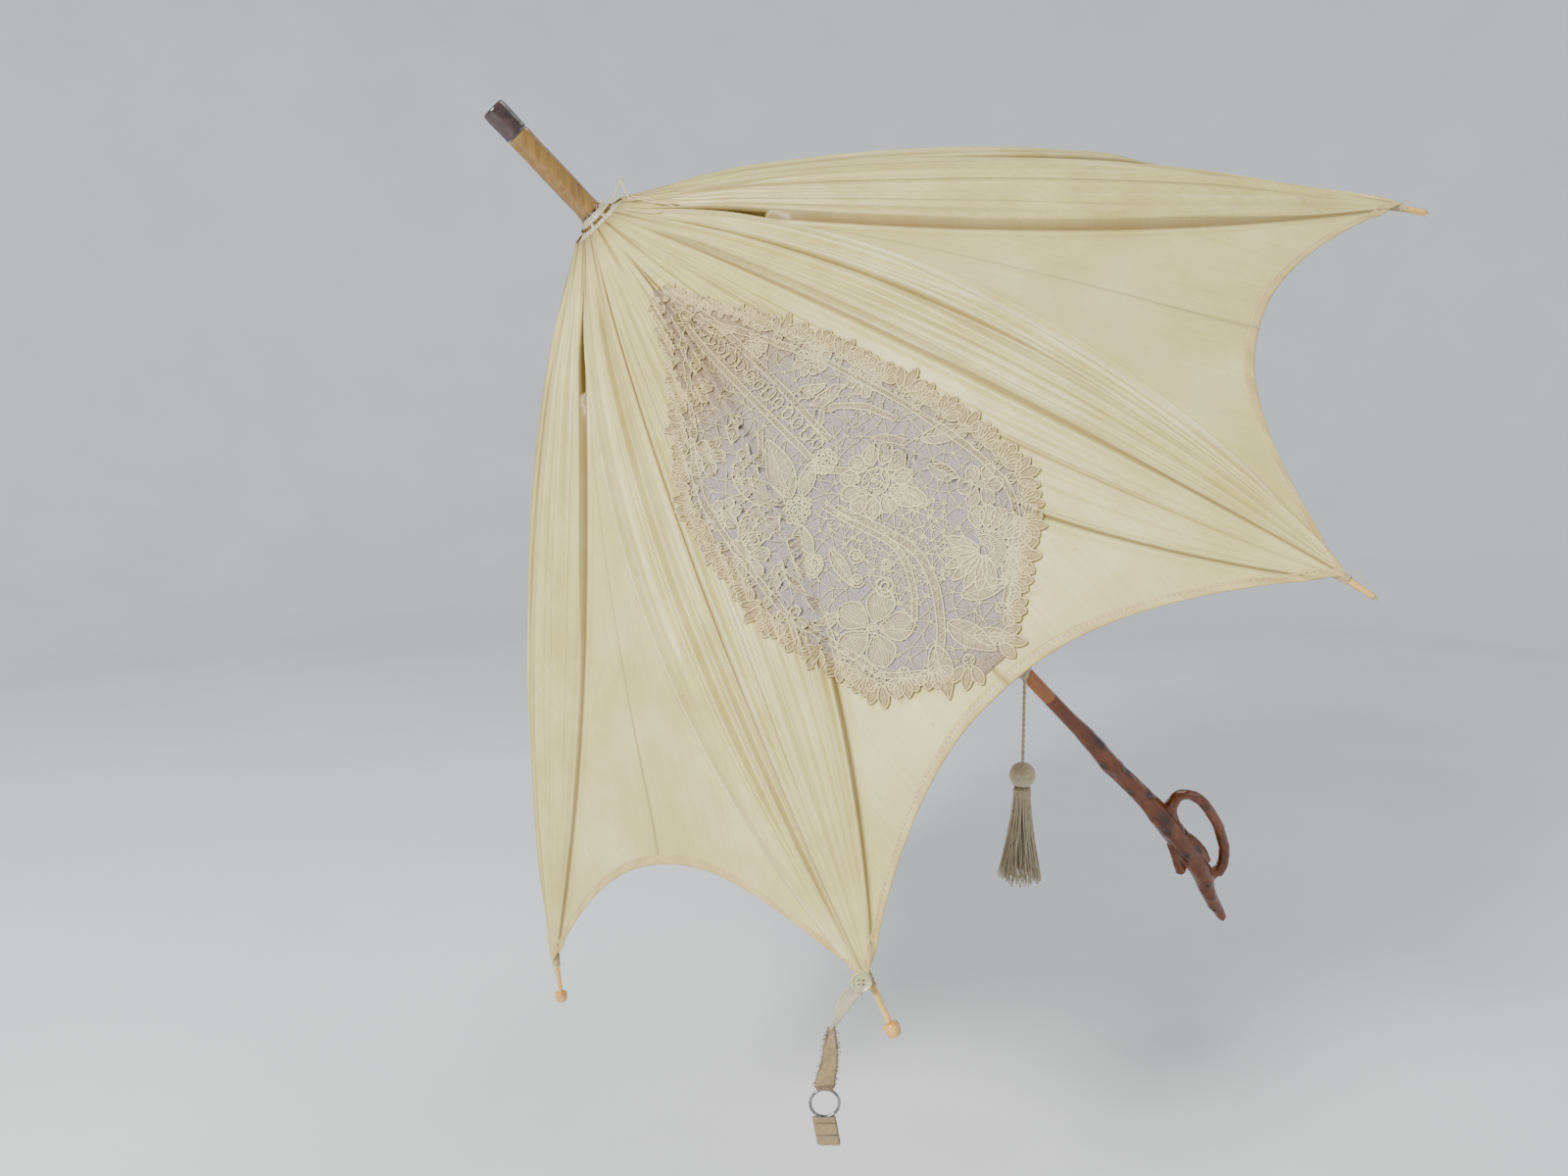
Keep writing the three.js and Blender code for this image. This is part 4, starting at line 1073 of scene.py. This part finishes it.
def makeCrown():
    spin = random.Random(15)
    rings, sides = crownLook["rings"], crownLook["sides"]
    angle = np.arange(sides) * 2 * math.pi / sides
    fray = np.array([spin.uniform(-1.2, 1.2) for _ in range(sides)])
    wave = np.sin(angle * crownLook["pleats"]) + 0.5 * np.sin(angle * 13 + 1)
    points = []
    for i in range(rings):
        t = i / (rings - 1)
        radius = crownLook["foot"] - crownLook["narrowing"] * t ** 0.75 + crownLook["pleat"] * wave * (1
                - 0.75 * t) + (fray * 0.8 if i == 0 else 0)
        down = 1.2 - crownLook["height"] * t + 1.5 * math.sin(t * 3) + 0.35 * wave
        if t > 0.82:
            radius = radius + (t - 0.82) * 2.5 + (fray * 0.3 if i == rings - 1 else 0)
            down = down - 0.4 * fray * (i == rings - 1)
        points.append(np.stack([onStick(d, r * math.cos(a), r * math.sin(a)) for a, r,
                                d in zip(angle, radius * np.ones(sides), down * np.ones(sides))]))
    faces = gridFaces(rings, sides, closed=True)
    # painted shade: darker in the pleat valleys, more so towards the narrow top
    line = np.concatenate([np.clip(0.35 - 0.4 * wave, 0, 0.7) * (0.5 + 0.5 * i / rings) for i in range(rings)])
    uv = np.stack([np.tile(angle * 0.012, rings), np.repeat(np.arange(rings) * 0.001, sides)], -1)
    frill = addPiece("crownFrill", np.concatenate(points), faces, "frill", uv=uv, values={"crease": line})
    solid = frill.modifiers.new("cloth", "SOLIDIFY")
    solid.thickness = crownLook["thick"] * mm
    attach(frill, "stick")
    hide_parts("crown_collar")
    # flat's length is fitted to the mesh's area, and so is the strap band's
    parts = []
    t = np.linspace(0, 1, 150)
    for k in range(2):  # the cord drawn round the neck
        a = t * 2 * math.pi * 2
        reach = crownLook["cord"][0] - 0.4 * k
        turns = [onStick(-4.6 - 0.9 * k - 0.5 * q, reach * math.cos(w), reach * math.sin(w)) for q, w in zip(t, a)]
        parts.append(tube(np.stack(turns), crownLook["cord"][1] * mm, 6))
    # loose threads: one stands up in a bend, others trail over an upper gore
    toRight, toFront = np.array([0.884, -0.468, 0.0]), np.array([-0.468, -0.884, 0.0])

    def above(x, z, y):
        return crown + (toRight * x + toFront * y + np.array([0, 0, z])) * mm
    bend = above(15, 24, 9)
    loose = [[above(2, 4, 9), above(6, 8, 10), above(11, 14, 10), bend],
             [bend, above(19, 15, 11), above(25, 8, 13), onGore(1, 44.0, -0.2, 2.2), onGore(1, 72.0, -0.08, 1.2),
              onGore(1, 100.0, 0.02, 1.0)],
             [onGore(1, 16.0, -0.6, 4.0), onGore(1, 38.0, -0.3, 2.8), onGore(1, 66.0, -0.16, 1.2),
              onGore(1, 90.0, -0.06, 1.0)],
             [onGore(1, 16.0, -0.4, 4.0), onGore(1, 36.0, -0.24, 2.6), onGore(1, 60.0, -0.02, 1.4),
              onGore(1, 82.0, 0.1, 1.0)],
             [onGore(1, 18.0, 0.4, 3.0), onGore(1, 34.0, 0.3, 2.0), onGore(1, 52.0, 0.12, 1.4),
              onGore(1, 76.0, -0.02, 1.0)]]
    for k, knots in enumerate(loose):
        curve = smoothCurve(knots, 44)
        curve += 0.4 * mm * np.stack([np.sin(np.linspace(0, 15, 44) + k), np.cos(np.linspace(0, 12, 44) + k),
                np.sin(np.linspace(0, 17, 44))], -1) * np.sin(np.linspace(0, math.pi, 44))[:, None]
        parts.append(tube(curve, crownLook["loose"][0 if k < 2 else 1] * mm, 5))
    for k in range(9):  # the fuzz where the standing thread bends
        tip = bend + np.array([spin.uniform(-1.6, 2.6), spin.uniform(-1.5, 1.5), spin.uniform(-0.8, 2.8)]) * mm
        parts.append(tube(np.stack([bend, (bend + tip) / 2 + 0.3 * mm, tip]), 0.22 * mm, 4))
    for k in range(crownLook["frayed"]):  # fraying round the neck
        a = spin.random() * 2 * math.pi
        r, d = 8.3 + spin.uniform(0, 0.8), -7.4 + spin.uniform(-0.5, 2.6)
        tip = (d - spin.uniform(-1.5, 2.2), (r + spin.uniform(0.3, 2.2)) * math.cos(a + 0.12),
               (r + spin.uniform(0.3, 2.2)) * math.sin(a + 0.12))
        middle = (d - 0.3, (r + 0.4) * math.cos(a), (r + 0.4) * math.sin(a))
        parts.append(tube(np.stack([onStick(*p) for p in ((d + 1, (r - 1) * math.cos(a), (r - 1) * math.sin(a)),
                                                          middle, tip)]), 0.16 * mm, 4))
    threads = addPiece("crownThreads", *gather(parts), "stitch")
    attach(threads, "stick")


# ferrule outlines: radius and height above the crown, in millimetres
ferrule = {"wood": [(6.4, 7.9), (7.7, 8.1), (8.1, 8.8), (8.1, 11.2), (8.0, 12.4), (7.9, 13.5), (7.9, 20), (8.0, 32),
                    (7.9, 45), (7.75, 58), (7.8, 66), (7.9, 69), (7.5, 70.2), (7.2, 70.9), (0.5, 71)],
           "horn": [(0.5, 71.3), (7.4, 71.4), (8.0, 71.9), (8.1, 73), (7.9, 74.2), (8.0, 76), (8.05, 82), (8.0, 88),
                    (7.7, 90.6), (6.9, 91.7), (5.5, 91.9), (4.2, 91.4), (0.4, 91.2)],
           "ring": [(6.8, 6.9), (8.2, 7.0), (8.5, 7.4), (8.4, 8.1), (8.1, 8.5), (6.8, 8.6)]}


def makeFerrule():
    up = -stickDown
    wood = ferrule["wood"]

    def hewn(radius, height, angle):  # flats left by the knife
        return radius * (1 - 0.03 * np.abs(np.cos(3 * angle + height * 0.01))
                         + 0.008 * np.sin(height * 0.3 + 2 * angle))
    outline = [p for a, b in zip(wood[:-1], wood[1:])
               for p in (a, ((a[0] + b[0]) / 2, (a[1] + b[1]) / 2))] + [wood[-1]]
    stem = addPiece("ferruleWood", *lathe(outline, 60, crown, up, squeeze=hewn), "ferrule")
    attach(stem, "stick")
    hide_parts("ferrule")
    tip = addPiece("hornTip", *lathe(smoothCurve(ferrule["horn"], 44).tolist(), 60, crown, up, squeeze=hewn), "horn")
    sharpen(tip, 40)
    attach(tip, "stick")
    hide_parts("ferrule_tip")
    band = addPiece("crownRing", *lathe(smoothCurve(ferrule["ring"], 18).tolist(), 56, crown, up), "horn")
    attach(band, "stick")


makeCrown()
makeFerrule()
print("crown and ferrule made")


# handle: a gnarled shoot grown into a loop, its end cut as a beaked head
handle = {"aside": -20.7, "voxel": 0.95,
          "line": [(518, 0), (545, 0.3), (577, 0.6), (618, -0.4), (657, 0.6), (697, 0), (729, -1.5), (757, -4),
                   (784, -8), (803, -15), (827, -20), (846, -23)],
          "girth": [6.2, 6.3, 7.1, 8.2, 7.9, 9.9, 10.3, 9.4, 9.3, 7.9, 5.6, 3.9],
          "loop": [(714, 4), (701, 9), (694, 18), (697, 28), (714, 35), (739, 34), (763, 28.5), (783, 19), (795, 6),
                   (790, -4)],
          "loopGirth": [6.2, 5.6, 5.2, 5.0, 5.0, 5.1, 5.2, 5.2, 5.4, 5.6],
          "spur": [(723, -2), (741, -13), (765, -21)], "spurGirth": [5.6, 5.0, 4.6],
          "lobe": [(729, 3), (757, 5), (776, 3)], "lobeGirth": [5.4, 6.0, 4.2],
          "knots": [(583, 5, 13, 5), (606, -6, 8, 4), (629, 6, 11, 4), (648, -5, 7, 3.5), (664, 5, 8, 4),
                    (694, 1, 12, 7), (708, -6, 9, 6), (725, 7, 8, 4),
                    (744, -7, 8, 4), (752, 4, 9, 4), (768, -22, 5, 5), (778, 3, 6, 3.5), (790, -12, 6, 3),
                    (811, -17.5, 2.6, 2.6), (826, -24, 5, 1.8), (720, 35, 7, 3)]}


def inHandle(down, aside, across=0.0):
    a = math.radians(handle["aside"])
    return onStick(down, aside * math.cos(a) - across * math.sin(a), aside * math.sin(a) + across * math.cos(a))


def limb(line, girth, sides=18):
    count = len(line) * 7
    curve = smoothCurve([list(p) + [g] for p, g in zip(line, girth)], count)
    points = np.stack([inHandle(p[0], p[1]) for p in curve])
    return tube(points, curve[:, 2] * mm, sides, ref=inHandle(0, 0, 1) - inHandle(0, 0))


def makeHandle():
    parts = [limb(handle[k], handle[g]) for k,
             g in (("line", "girth"), ("loop", "loopGirth"), ("spur", "spurGirth"), ("lobe", "lobeGirth"))]
    rough = addPiece("handleRough", *gather(parts), "handle")
    grown = rough.modifiers.new("grown", "REMESH")
    grown.mode, grown.voxel_size = "VOXEL", handle["voxel"] * mm
    soft = rough.modifiers.new("soft", "SMOOTH")
    soft.factor, soft.iterations = 0.5, 7
    shape = bpy.data.meshes.new_from_object(rough.evaluated_get(bpy.context.evaluated_depsgraph_get()))
    bpy.data.objects.remove(rough)
    shape.name = "handleShoot"
    piece = bpy.data.objects.new("handleShoot", shape)
    bpy.context.scene.collection.objects.link(piece)
    n = len(shape.vertices)
    co, normal = np.empty(n * 3, np.float32), np.empty(n * 3, np.float32)
    shape.vertices.foreach_get("co", co)
    shape.vertices.foreach_get("normal", normal)
    co, normal = co.reshape(-1, 3).astype(float), normal.reshape(-1, 3).astype(float)
    a = math.radians(handle["aside"])
    asideWay = math.cos(a) * sideAxis + math.sin(a) * acrossAxis
    down, aside = (co - crown) @ stickDown / mm, (co - crown) @ asideWay / mm
    deep = (co - crown) @ np.cross(stickDown, asideWay) / mm
    bumps = np.array([noise.noise(Vector((d * 0.045, s * 0.12, e * 0.12)))
            + 0.5 * noise.noise(Vector((d * 0.11, s * 0.3, e * 0.3))) for d, s, e in zip(down, aside, deep)])
    ridge = np.array([noise.noise(Vector((d * 0.02 + 7, math.atan2(e, s) * 1.6, 3.0))) for d, s,
                      e in zip(down, aside, deep)])
    knot = np.zeros(n)
    swell = np.zeros(n)
    for place, across, long, wide in handle["knots"]:
        swellShape = np.exp(-((down - place) / long) ** 2 - ((aside - across) / wide) ** 2)
        knot = np.maximum(knot, np.clip(swellShape * 1.5 - 0.42, 0, 1))
        swell += 0.9 * swellShape - 1.3 * np.exp(-((down - place) / (long * 0.45)) ** 2
                                                 - ((aside - across) / (wide * 0.45)) ** 2)
    gnarl = rise(down, 528, 585)
    co = co + normal * (gnarl * (0.95 * bumps + 0.7 * ridge) + gnarl * 0.7 * swell)[:, None] * mm
    shape.vertices.foreach_set("co", co.ravel())
    shape.attributes.new("knot", "FLOAT", "POINT").data.foreach_set("value", (knot * 0.92).astype(np.float32))
    shape.polygons.foreach_set("use_smooth", [True] * len(shape.polygons))
    if not shape.materials:
        shape.materials.append(finishes["handle"])
    shape.update()
    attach(piece, "stick")
    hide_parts("handle")
    # the small dark eyes of the head
    for k, s in enumerate((-1, 1)):
        centre = inHandle(811, -17.5, s * 6.6)
        eye = addPiece("headEye_%d" % (k + 1),
                       *lathe(smoothCurve([(0.2, -1.0), (1.5, -0.6), (1.7, 0.1), (1.1, 0.8), (0.2, 1.0)],
                                          12).tolist(), 18, centre, inHandle(0, 0, s) - inHandle(0, 0)), "horn")
        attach(eye, "stick")


makeHandle()
print("handle made")


# button, tie strap, ring and folded tab
strap = {"facing": -27.6, "button": (-428.5, -279.5, 16.0), "waist": (-440.2, -270.9, -10.0),
         "foot": (-442.9, -269.5, -40.0),
         "ring": 7.2, "wire": 0.75, "tabWidth": 5.5, "tabLength": 14.4, "tabLean": 2.6,
         "silkWidth": ([0, 0.25, 0.7, 1], [5.0, 5.3, 2.8, 1.3]),
         "bandWidth": ([0, 0.12, 0.4, 0.8, 1], [1.1, 1.9, 3.2, 4.3, 4.6]),
         "buttonOutline": [(0.2, -1.2), (3.0, -1.25), (4.7, -1.15), (5.4, -0.5), (5.5, 0.3), (5.1, 1.15), (4.5, 1.3),
                           (4.0, 1.0), (3.6, 0.72), (2.0, 0.66), (0.3, 0.66)]}


def strapAxes():
    a = math.radians(strap["facing"])
    return np.array([math.cos(a), math.sin(a), 0]), np.array([-math.sin(a), math.cos(a), 0])


def ribbon(line, half, thickness, sway, rows=8):
    # a woven band along a line, with ribs across it and slightly waved edges
    across, depth = strapAxes()
    line = np.asarray(line, float)
    n = len(line)
    u = np.linspace(-1, 1, rows)
    front, back = [], []
    for i, p in enumerate(line):
        edge = half[i] * (1 + 0.05 * math.sin(i * 1.9))
        rib = 0.16 * math.sin(i * math.pi)
        for q in u:
            bend = sway * math.sin(i * 0.21 + q) * 0.6 + 0.1 * (i % 2)
            base = p + across * edge * q + depth * (bend + rib)
            front.append(base - depth * thickness / 2)
            back.append(base + depth * thickness / 2)
    points = np.array(front + back) * mm
    m = n * rows
    faces = []
    for i in range(n - 1):
        for j in range(rows - 1):
            a = i * rows + j
            faces.append([a, a + 1, a + rows + 1, a + rows][::-1])
            faces.append([m + a, m + a + 1, m + a + rows + 1, m + a + rows])
        for j, flip in ((0, 1), (rows - 1, -1)):
            a = i * rows + j
            faces.append([a, a + rows, m + a + rows, m + a][::-flip])
    faces.append([j for j in range(rows)] + [m + j for j in range(rows)][::-1])
    faces.append(([(n - 1) * rows + j for j in range(rows)]
                  + [m + (n - 1) * rows + j for j in range(rows)][::-1])[::-1])
    return points, faces


def makeStrap():
    across, depth = strapAxes()
    centre = np.array(strap["button"])
    parts = [lathe(smoothCurve(strap["buttonOutline"], 40).tolist(), 64, centre * mm, -depth)]
    kinds = [0] * len(parts[0][1])
    # four dark discs stand in for the holes: painted shade
    for x, z in ((1, 1), (1, -1), (-1, -1), (-1, 1)):
        spot = (centre + across * 1.05 * x + np.array([0, 0, 1.05 * z]) - depth * 0.72) * mm
        parts.append(lathe([(0.62, 0), (0.5, 0.06), (0.1, 0.06)], 14, spot, -depth))
        kinds += [1] * len(parts[-1][1])
    for z in (-1, 1):
        ends = [centre + across * 1.05 * x + np.array([0, 0, 1.05 * z * w]) - depth * up for x, w,
                up in ((-1, 1, 0.75), (0, 0.9 * z, 1.15), (1, -1, 0.75))]
        for k in range(3):
            parts.append(tube((np.array(ends) + np.array([0, 0, 0.22 * k - 0.2])) * mm, 0.16 * mm, 5))
            kinds += [2] * len(parts[-1][1])
    button = addPiece("shellButton", *gather(parts), ["button", "hole", "binding"], faceFinish=kinds)
    sharpen(button, 50)
    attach(button, "rib_4")
    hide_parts("strap_button")
    # silk end gathered under the button, then the ribbed band
    head, waist, foot = centre + depth * 1.9 + np.array([-1.0, 0,
                                                         -3.0]), np.array(strap["waist"]), np.array(strap["foot"])
    upper = smoothCurve([head, head * 0.62 + waist * 0.38 + [-1.2, 0, 1.5], waist], 34)
    half = np.interp(np.linspace(0, 1, 34), *strap["silkWidth"])
    spin = random.Random(31)
    silk = addPiece("strapSilk", *ribbon(upper, half * (1 + 0.06 * np.sin(np.arange(34) * 1.1)), 0.6, 0.9, 12),
                    "frill", uv=np.stack([np.arange(34 * 24) % 12 * 0.0008, np.arange(34 * 24) // 12 * 0.0009], -1),
                    values={"crease": np.abs(np.sin(np.arange(34 * 24) * 1.3)) * 0.35})
    lower = smoothCurve([waist + [0, 0, 2], (waist + foot) / 2 + [1.3, 0.4, 0], foot + [0.4, 0, 4], foot], 64)
    halfLow = np.interp(np.linspace(0, 1, 64), *strap["bandWidth"])
    band = addPiece("strapBand", *ribbon(lower, halfLow, 0.9, 0.7, 10), "band")
    fray = []
    for end in (-1, 1):
        edge = np.array([p + across * end * h * 1.02 for p, h in zip(lower, halfLow)])
        edge += across * np.array([0.25 * math.sin(i * 1.7) for i in range(64)])[:, None]
        fray.append(tube(edge * mm, 0.5 * mm, 5))
        for k in range(46):
            i = spin.randrange(2, 62)
            tip = edge[i] + across * end * spin.uniform(0.6, 2.2) + np.array([0, 0, spin.uniform(-1.6, 0.8)])
            fray.append(tube(np.stack([edge[i], (edge[i] + tip) / 2 + [0, 0, 0.3], tip]) * mm, 0.13 * mm, 4))
    # the band turns over the ring
    loop = smoothCurve([foot + [0, 0, 1.5], foot - depth * 1.5 + [0, 0, 0.2], foot - depth * 0.9 + [0, 0, -1.4],
                        foot + depth * 0.9 + [0, 0, -1.4], foot + depth * 1.5 + [0, 0, 0.2], foot + [0, 0, 1.5]], 26)
    fold = []
    for p in loop:
        fold.append([p - across * 4.2, p + across * 4.2])
    fold = np.array(fold).reshape(-1, 3) * mm
    fray.append((fold, [[2 * i, 2 * i + 1, 2 * i + 3, 2 * i + 2] for i in range(25)]))
    edges = addPiece("strapFray", *gather(fray), "bandEdge")
    for piece in (silk, band, edges):
        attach(piece, "tie_strap")
    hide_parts("tie_strap")
    middle = foot - np.array([0, 0, strap["ring"] + 1.0])
    t = np.linspace(0, 2 * math.pi, 97)
    line = middle + strap["ring"] * (np.cos(t)[:, None] * across + np.sin(t)[:, None] * np.array([0, 0, 1.0]))
    ring = addPiece("strapRing", *tube(line * mm, (strap["wire"] + 0.04 * np.sin(t * 9)) * mm, 12, ref=depth,
                                       cap=False), "wire")
    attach(ring, "strap_ring")
    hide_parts("strap_ring")
    top = foot - np.array([0, 0, 2 * strap["ring"] + 2.2])
    body = np.array([top + [0, 0, 1.2 - strap["tabLength"] * q] + across * (strap["tabLean"] * q - 0.4)
                     + depth * 0.25 * math.sin(q * 9) for q in np.linspace(0, 1, 44)])
    parts = [ribbon(body - depth * 0.65, np.full(44, strap["tabWidth"]), 0.7, 0.25, 10),
             ribbon(body[:40] + depth * 0.65, np.full(40, 5.4), 0.7, 0.3, 10)]
    tab = addPiece("foldedTab", *gather(parts), "band")
    hair = []
    for k in range(50):
        x = spin.uniform(-5.4, 5.4)
        root = body[-1] + across * x
        hair.append(tube(np.stack([root, root + [0, 0, -0.5],
                root + across * spin.uniform(-0.6, 0.6) + [0, 0, -spin.uniform(0.5, 1.3)]]) * mm, 0.13 * mm, 4))
    for end in (-1, 1):
        hair.append(tube((body + across * strap["tabWidth"] * end) * mm, 0.42 * mm, 5))
    for i in (9, 27):  # dark lines where the tab was folded
        hair.append(tube(np.stack([body[i] - across * 5.4, body[i], body[i] + across * 5.4]) * mm - depth * 1.25 * mm,
                         0.24 * mm, 5))
    tabEdge = addPiece("foldedTabEdge", *gather(hair), "bandEdge")
    for piece in (tab, tabEdge):
        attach(piece, "strap_tab")
    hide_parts("strap_tab")


makeStrap()
print("strap made")


# carried parts that keep their own shape
kept = {"stick": ["shaft"], "brass": ["top_notch", "runner"],
        "wire": ["notch_wire", "runner_wire", "top_catch", "bottom_catch"],
        "cane": ["rib_%d" % (i + 1) for i in range(8)], "steel": ["stretcher_%d" % (i + 1) for i in range(8)]}
for key, names in kept.items():
    for name in names:
        mesh = nodes[name].data
        mesh.materials.clear()
        mesh.materials.append(finishes[key])
        mesh.polygons.foreach_set("material_index", [0] * len(mesh.polygons))
        sharpen(nodes[name], 38)
print("carried parts finished")


# room: a pale floor that turns up into a pale wall all round, and soft lights
room = {"floor": -0.27, "flat": 2.7, "wall": 4.2, "height": 5.0, "air": (0.93, 0.95, 1.0, 1), "glow": 0.5}


def makeRoom():
    outline = [(0.02, 0), (0.8, 0), (room["flat"], 0)]
    bend = room["wall"] - room["flat"]
    outline += [(room["flat"] + bend * math.sin(t), bend * (1 - math.cos(t)))
                for t in np.linspace(0.12, math.pi / 2, 12)]
    outline.append((room["wall"], room["height"]))
    points, faces = lathe([(r * 1000, h * 1000) for r, h in outline], 96, np.array([0, 0, room["floor"]]), (0, 0, 1),
                          (1, 0, 0))
    material, tree, shader = newFinish("paleFloor", 0.85, Specular_IOR_Level=0.2)
    cloth = speckle(tree, coords(tree), 3, 4)
    tree.links.new(ramp(tree, cloth, [(0.3, tone(226, 228, 232)), (0.7, tone(232, 234, 237))]),
                   shader.inputs["Base Color"])
    finishes["floor"] = material
    floor = addPiece("floor", points, faces[:-1], "floor")


lights = {"keyLight": {"place": (-2.5, -1.1, 1.5), "size": 0.8, "power": 128, "colour": (1.0, 0.99, 0.95)},
          "fillLight": {"place": (1.6, -2.2, 1.0), "size": 1.8, "power": 14, "colour": (0.95, 0.97, 1.0)},
          "topLight": {"place": (0.6, 0.2, 2.4), "size": 1.2, "power": 16, "colour": (1.0, 0.99, 0.97)}}


def softLight(name, place, size, power, colour, aim=(-0.15, 0, 0.15)):
    data = bpy.data.lights.new(name, "AREA")
    data.shape, data.size, data.energy, data.color = "DISK", size, power, colour
    light = bpy.data.objects.new(name, data)
    light.location = place
    light.rotation_euler = (Vector(aim) - Vector(place)).to_track_quat("-Z", "Y").to_euler()
    bpy.context.scene.collection.objects.link(light)


makeRoom()
for name, look in lights.items():
    softLight(name, **look)
world = bpy.data.worlds.new("paleRoom")
world.use_nodes = True
world.node_tree.nodes["Background"].inputs["Color"].default_value = room["air"]
world.node_tree.nodes["Background"].inputs["Strength"].default_value = room["glow"]
bpy.context.scene.world = world
print("room made")
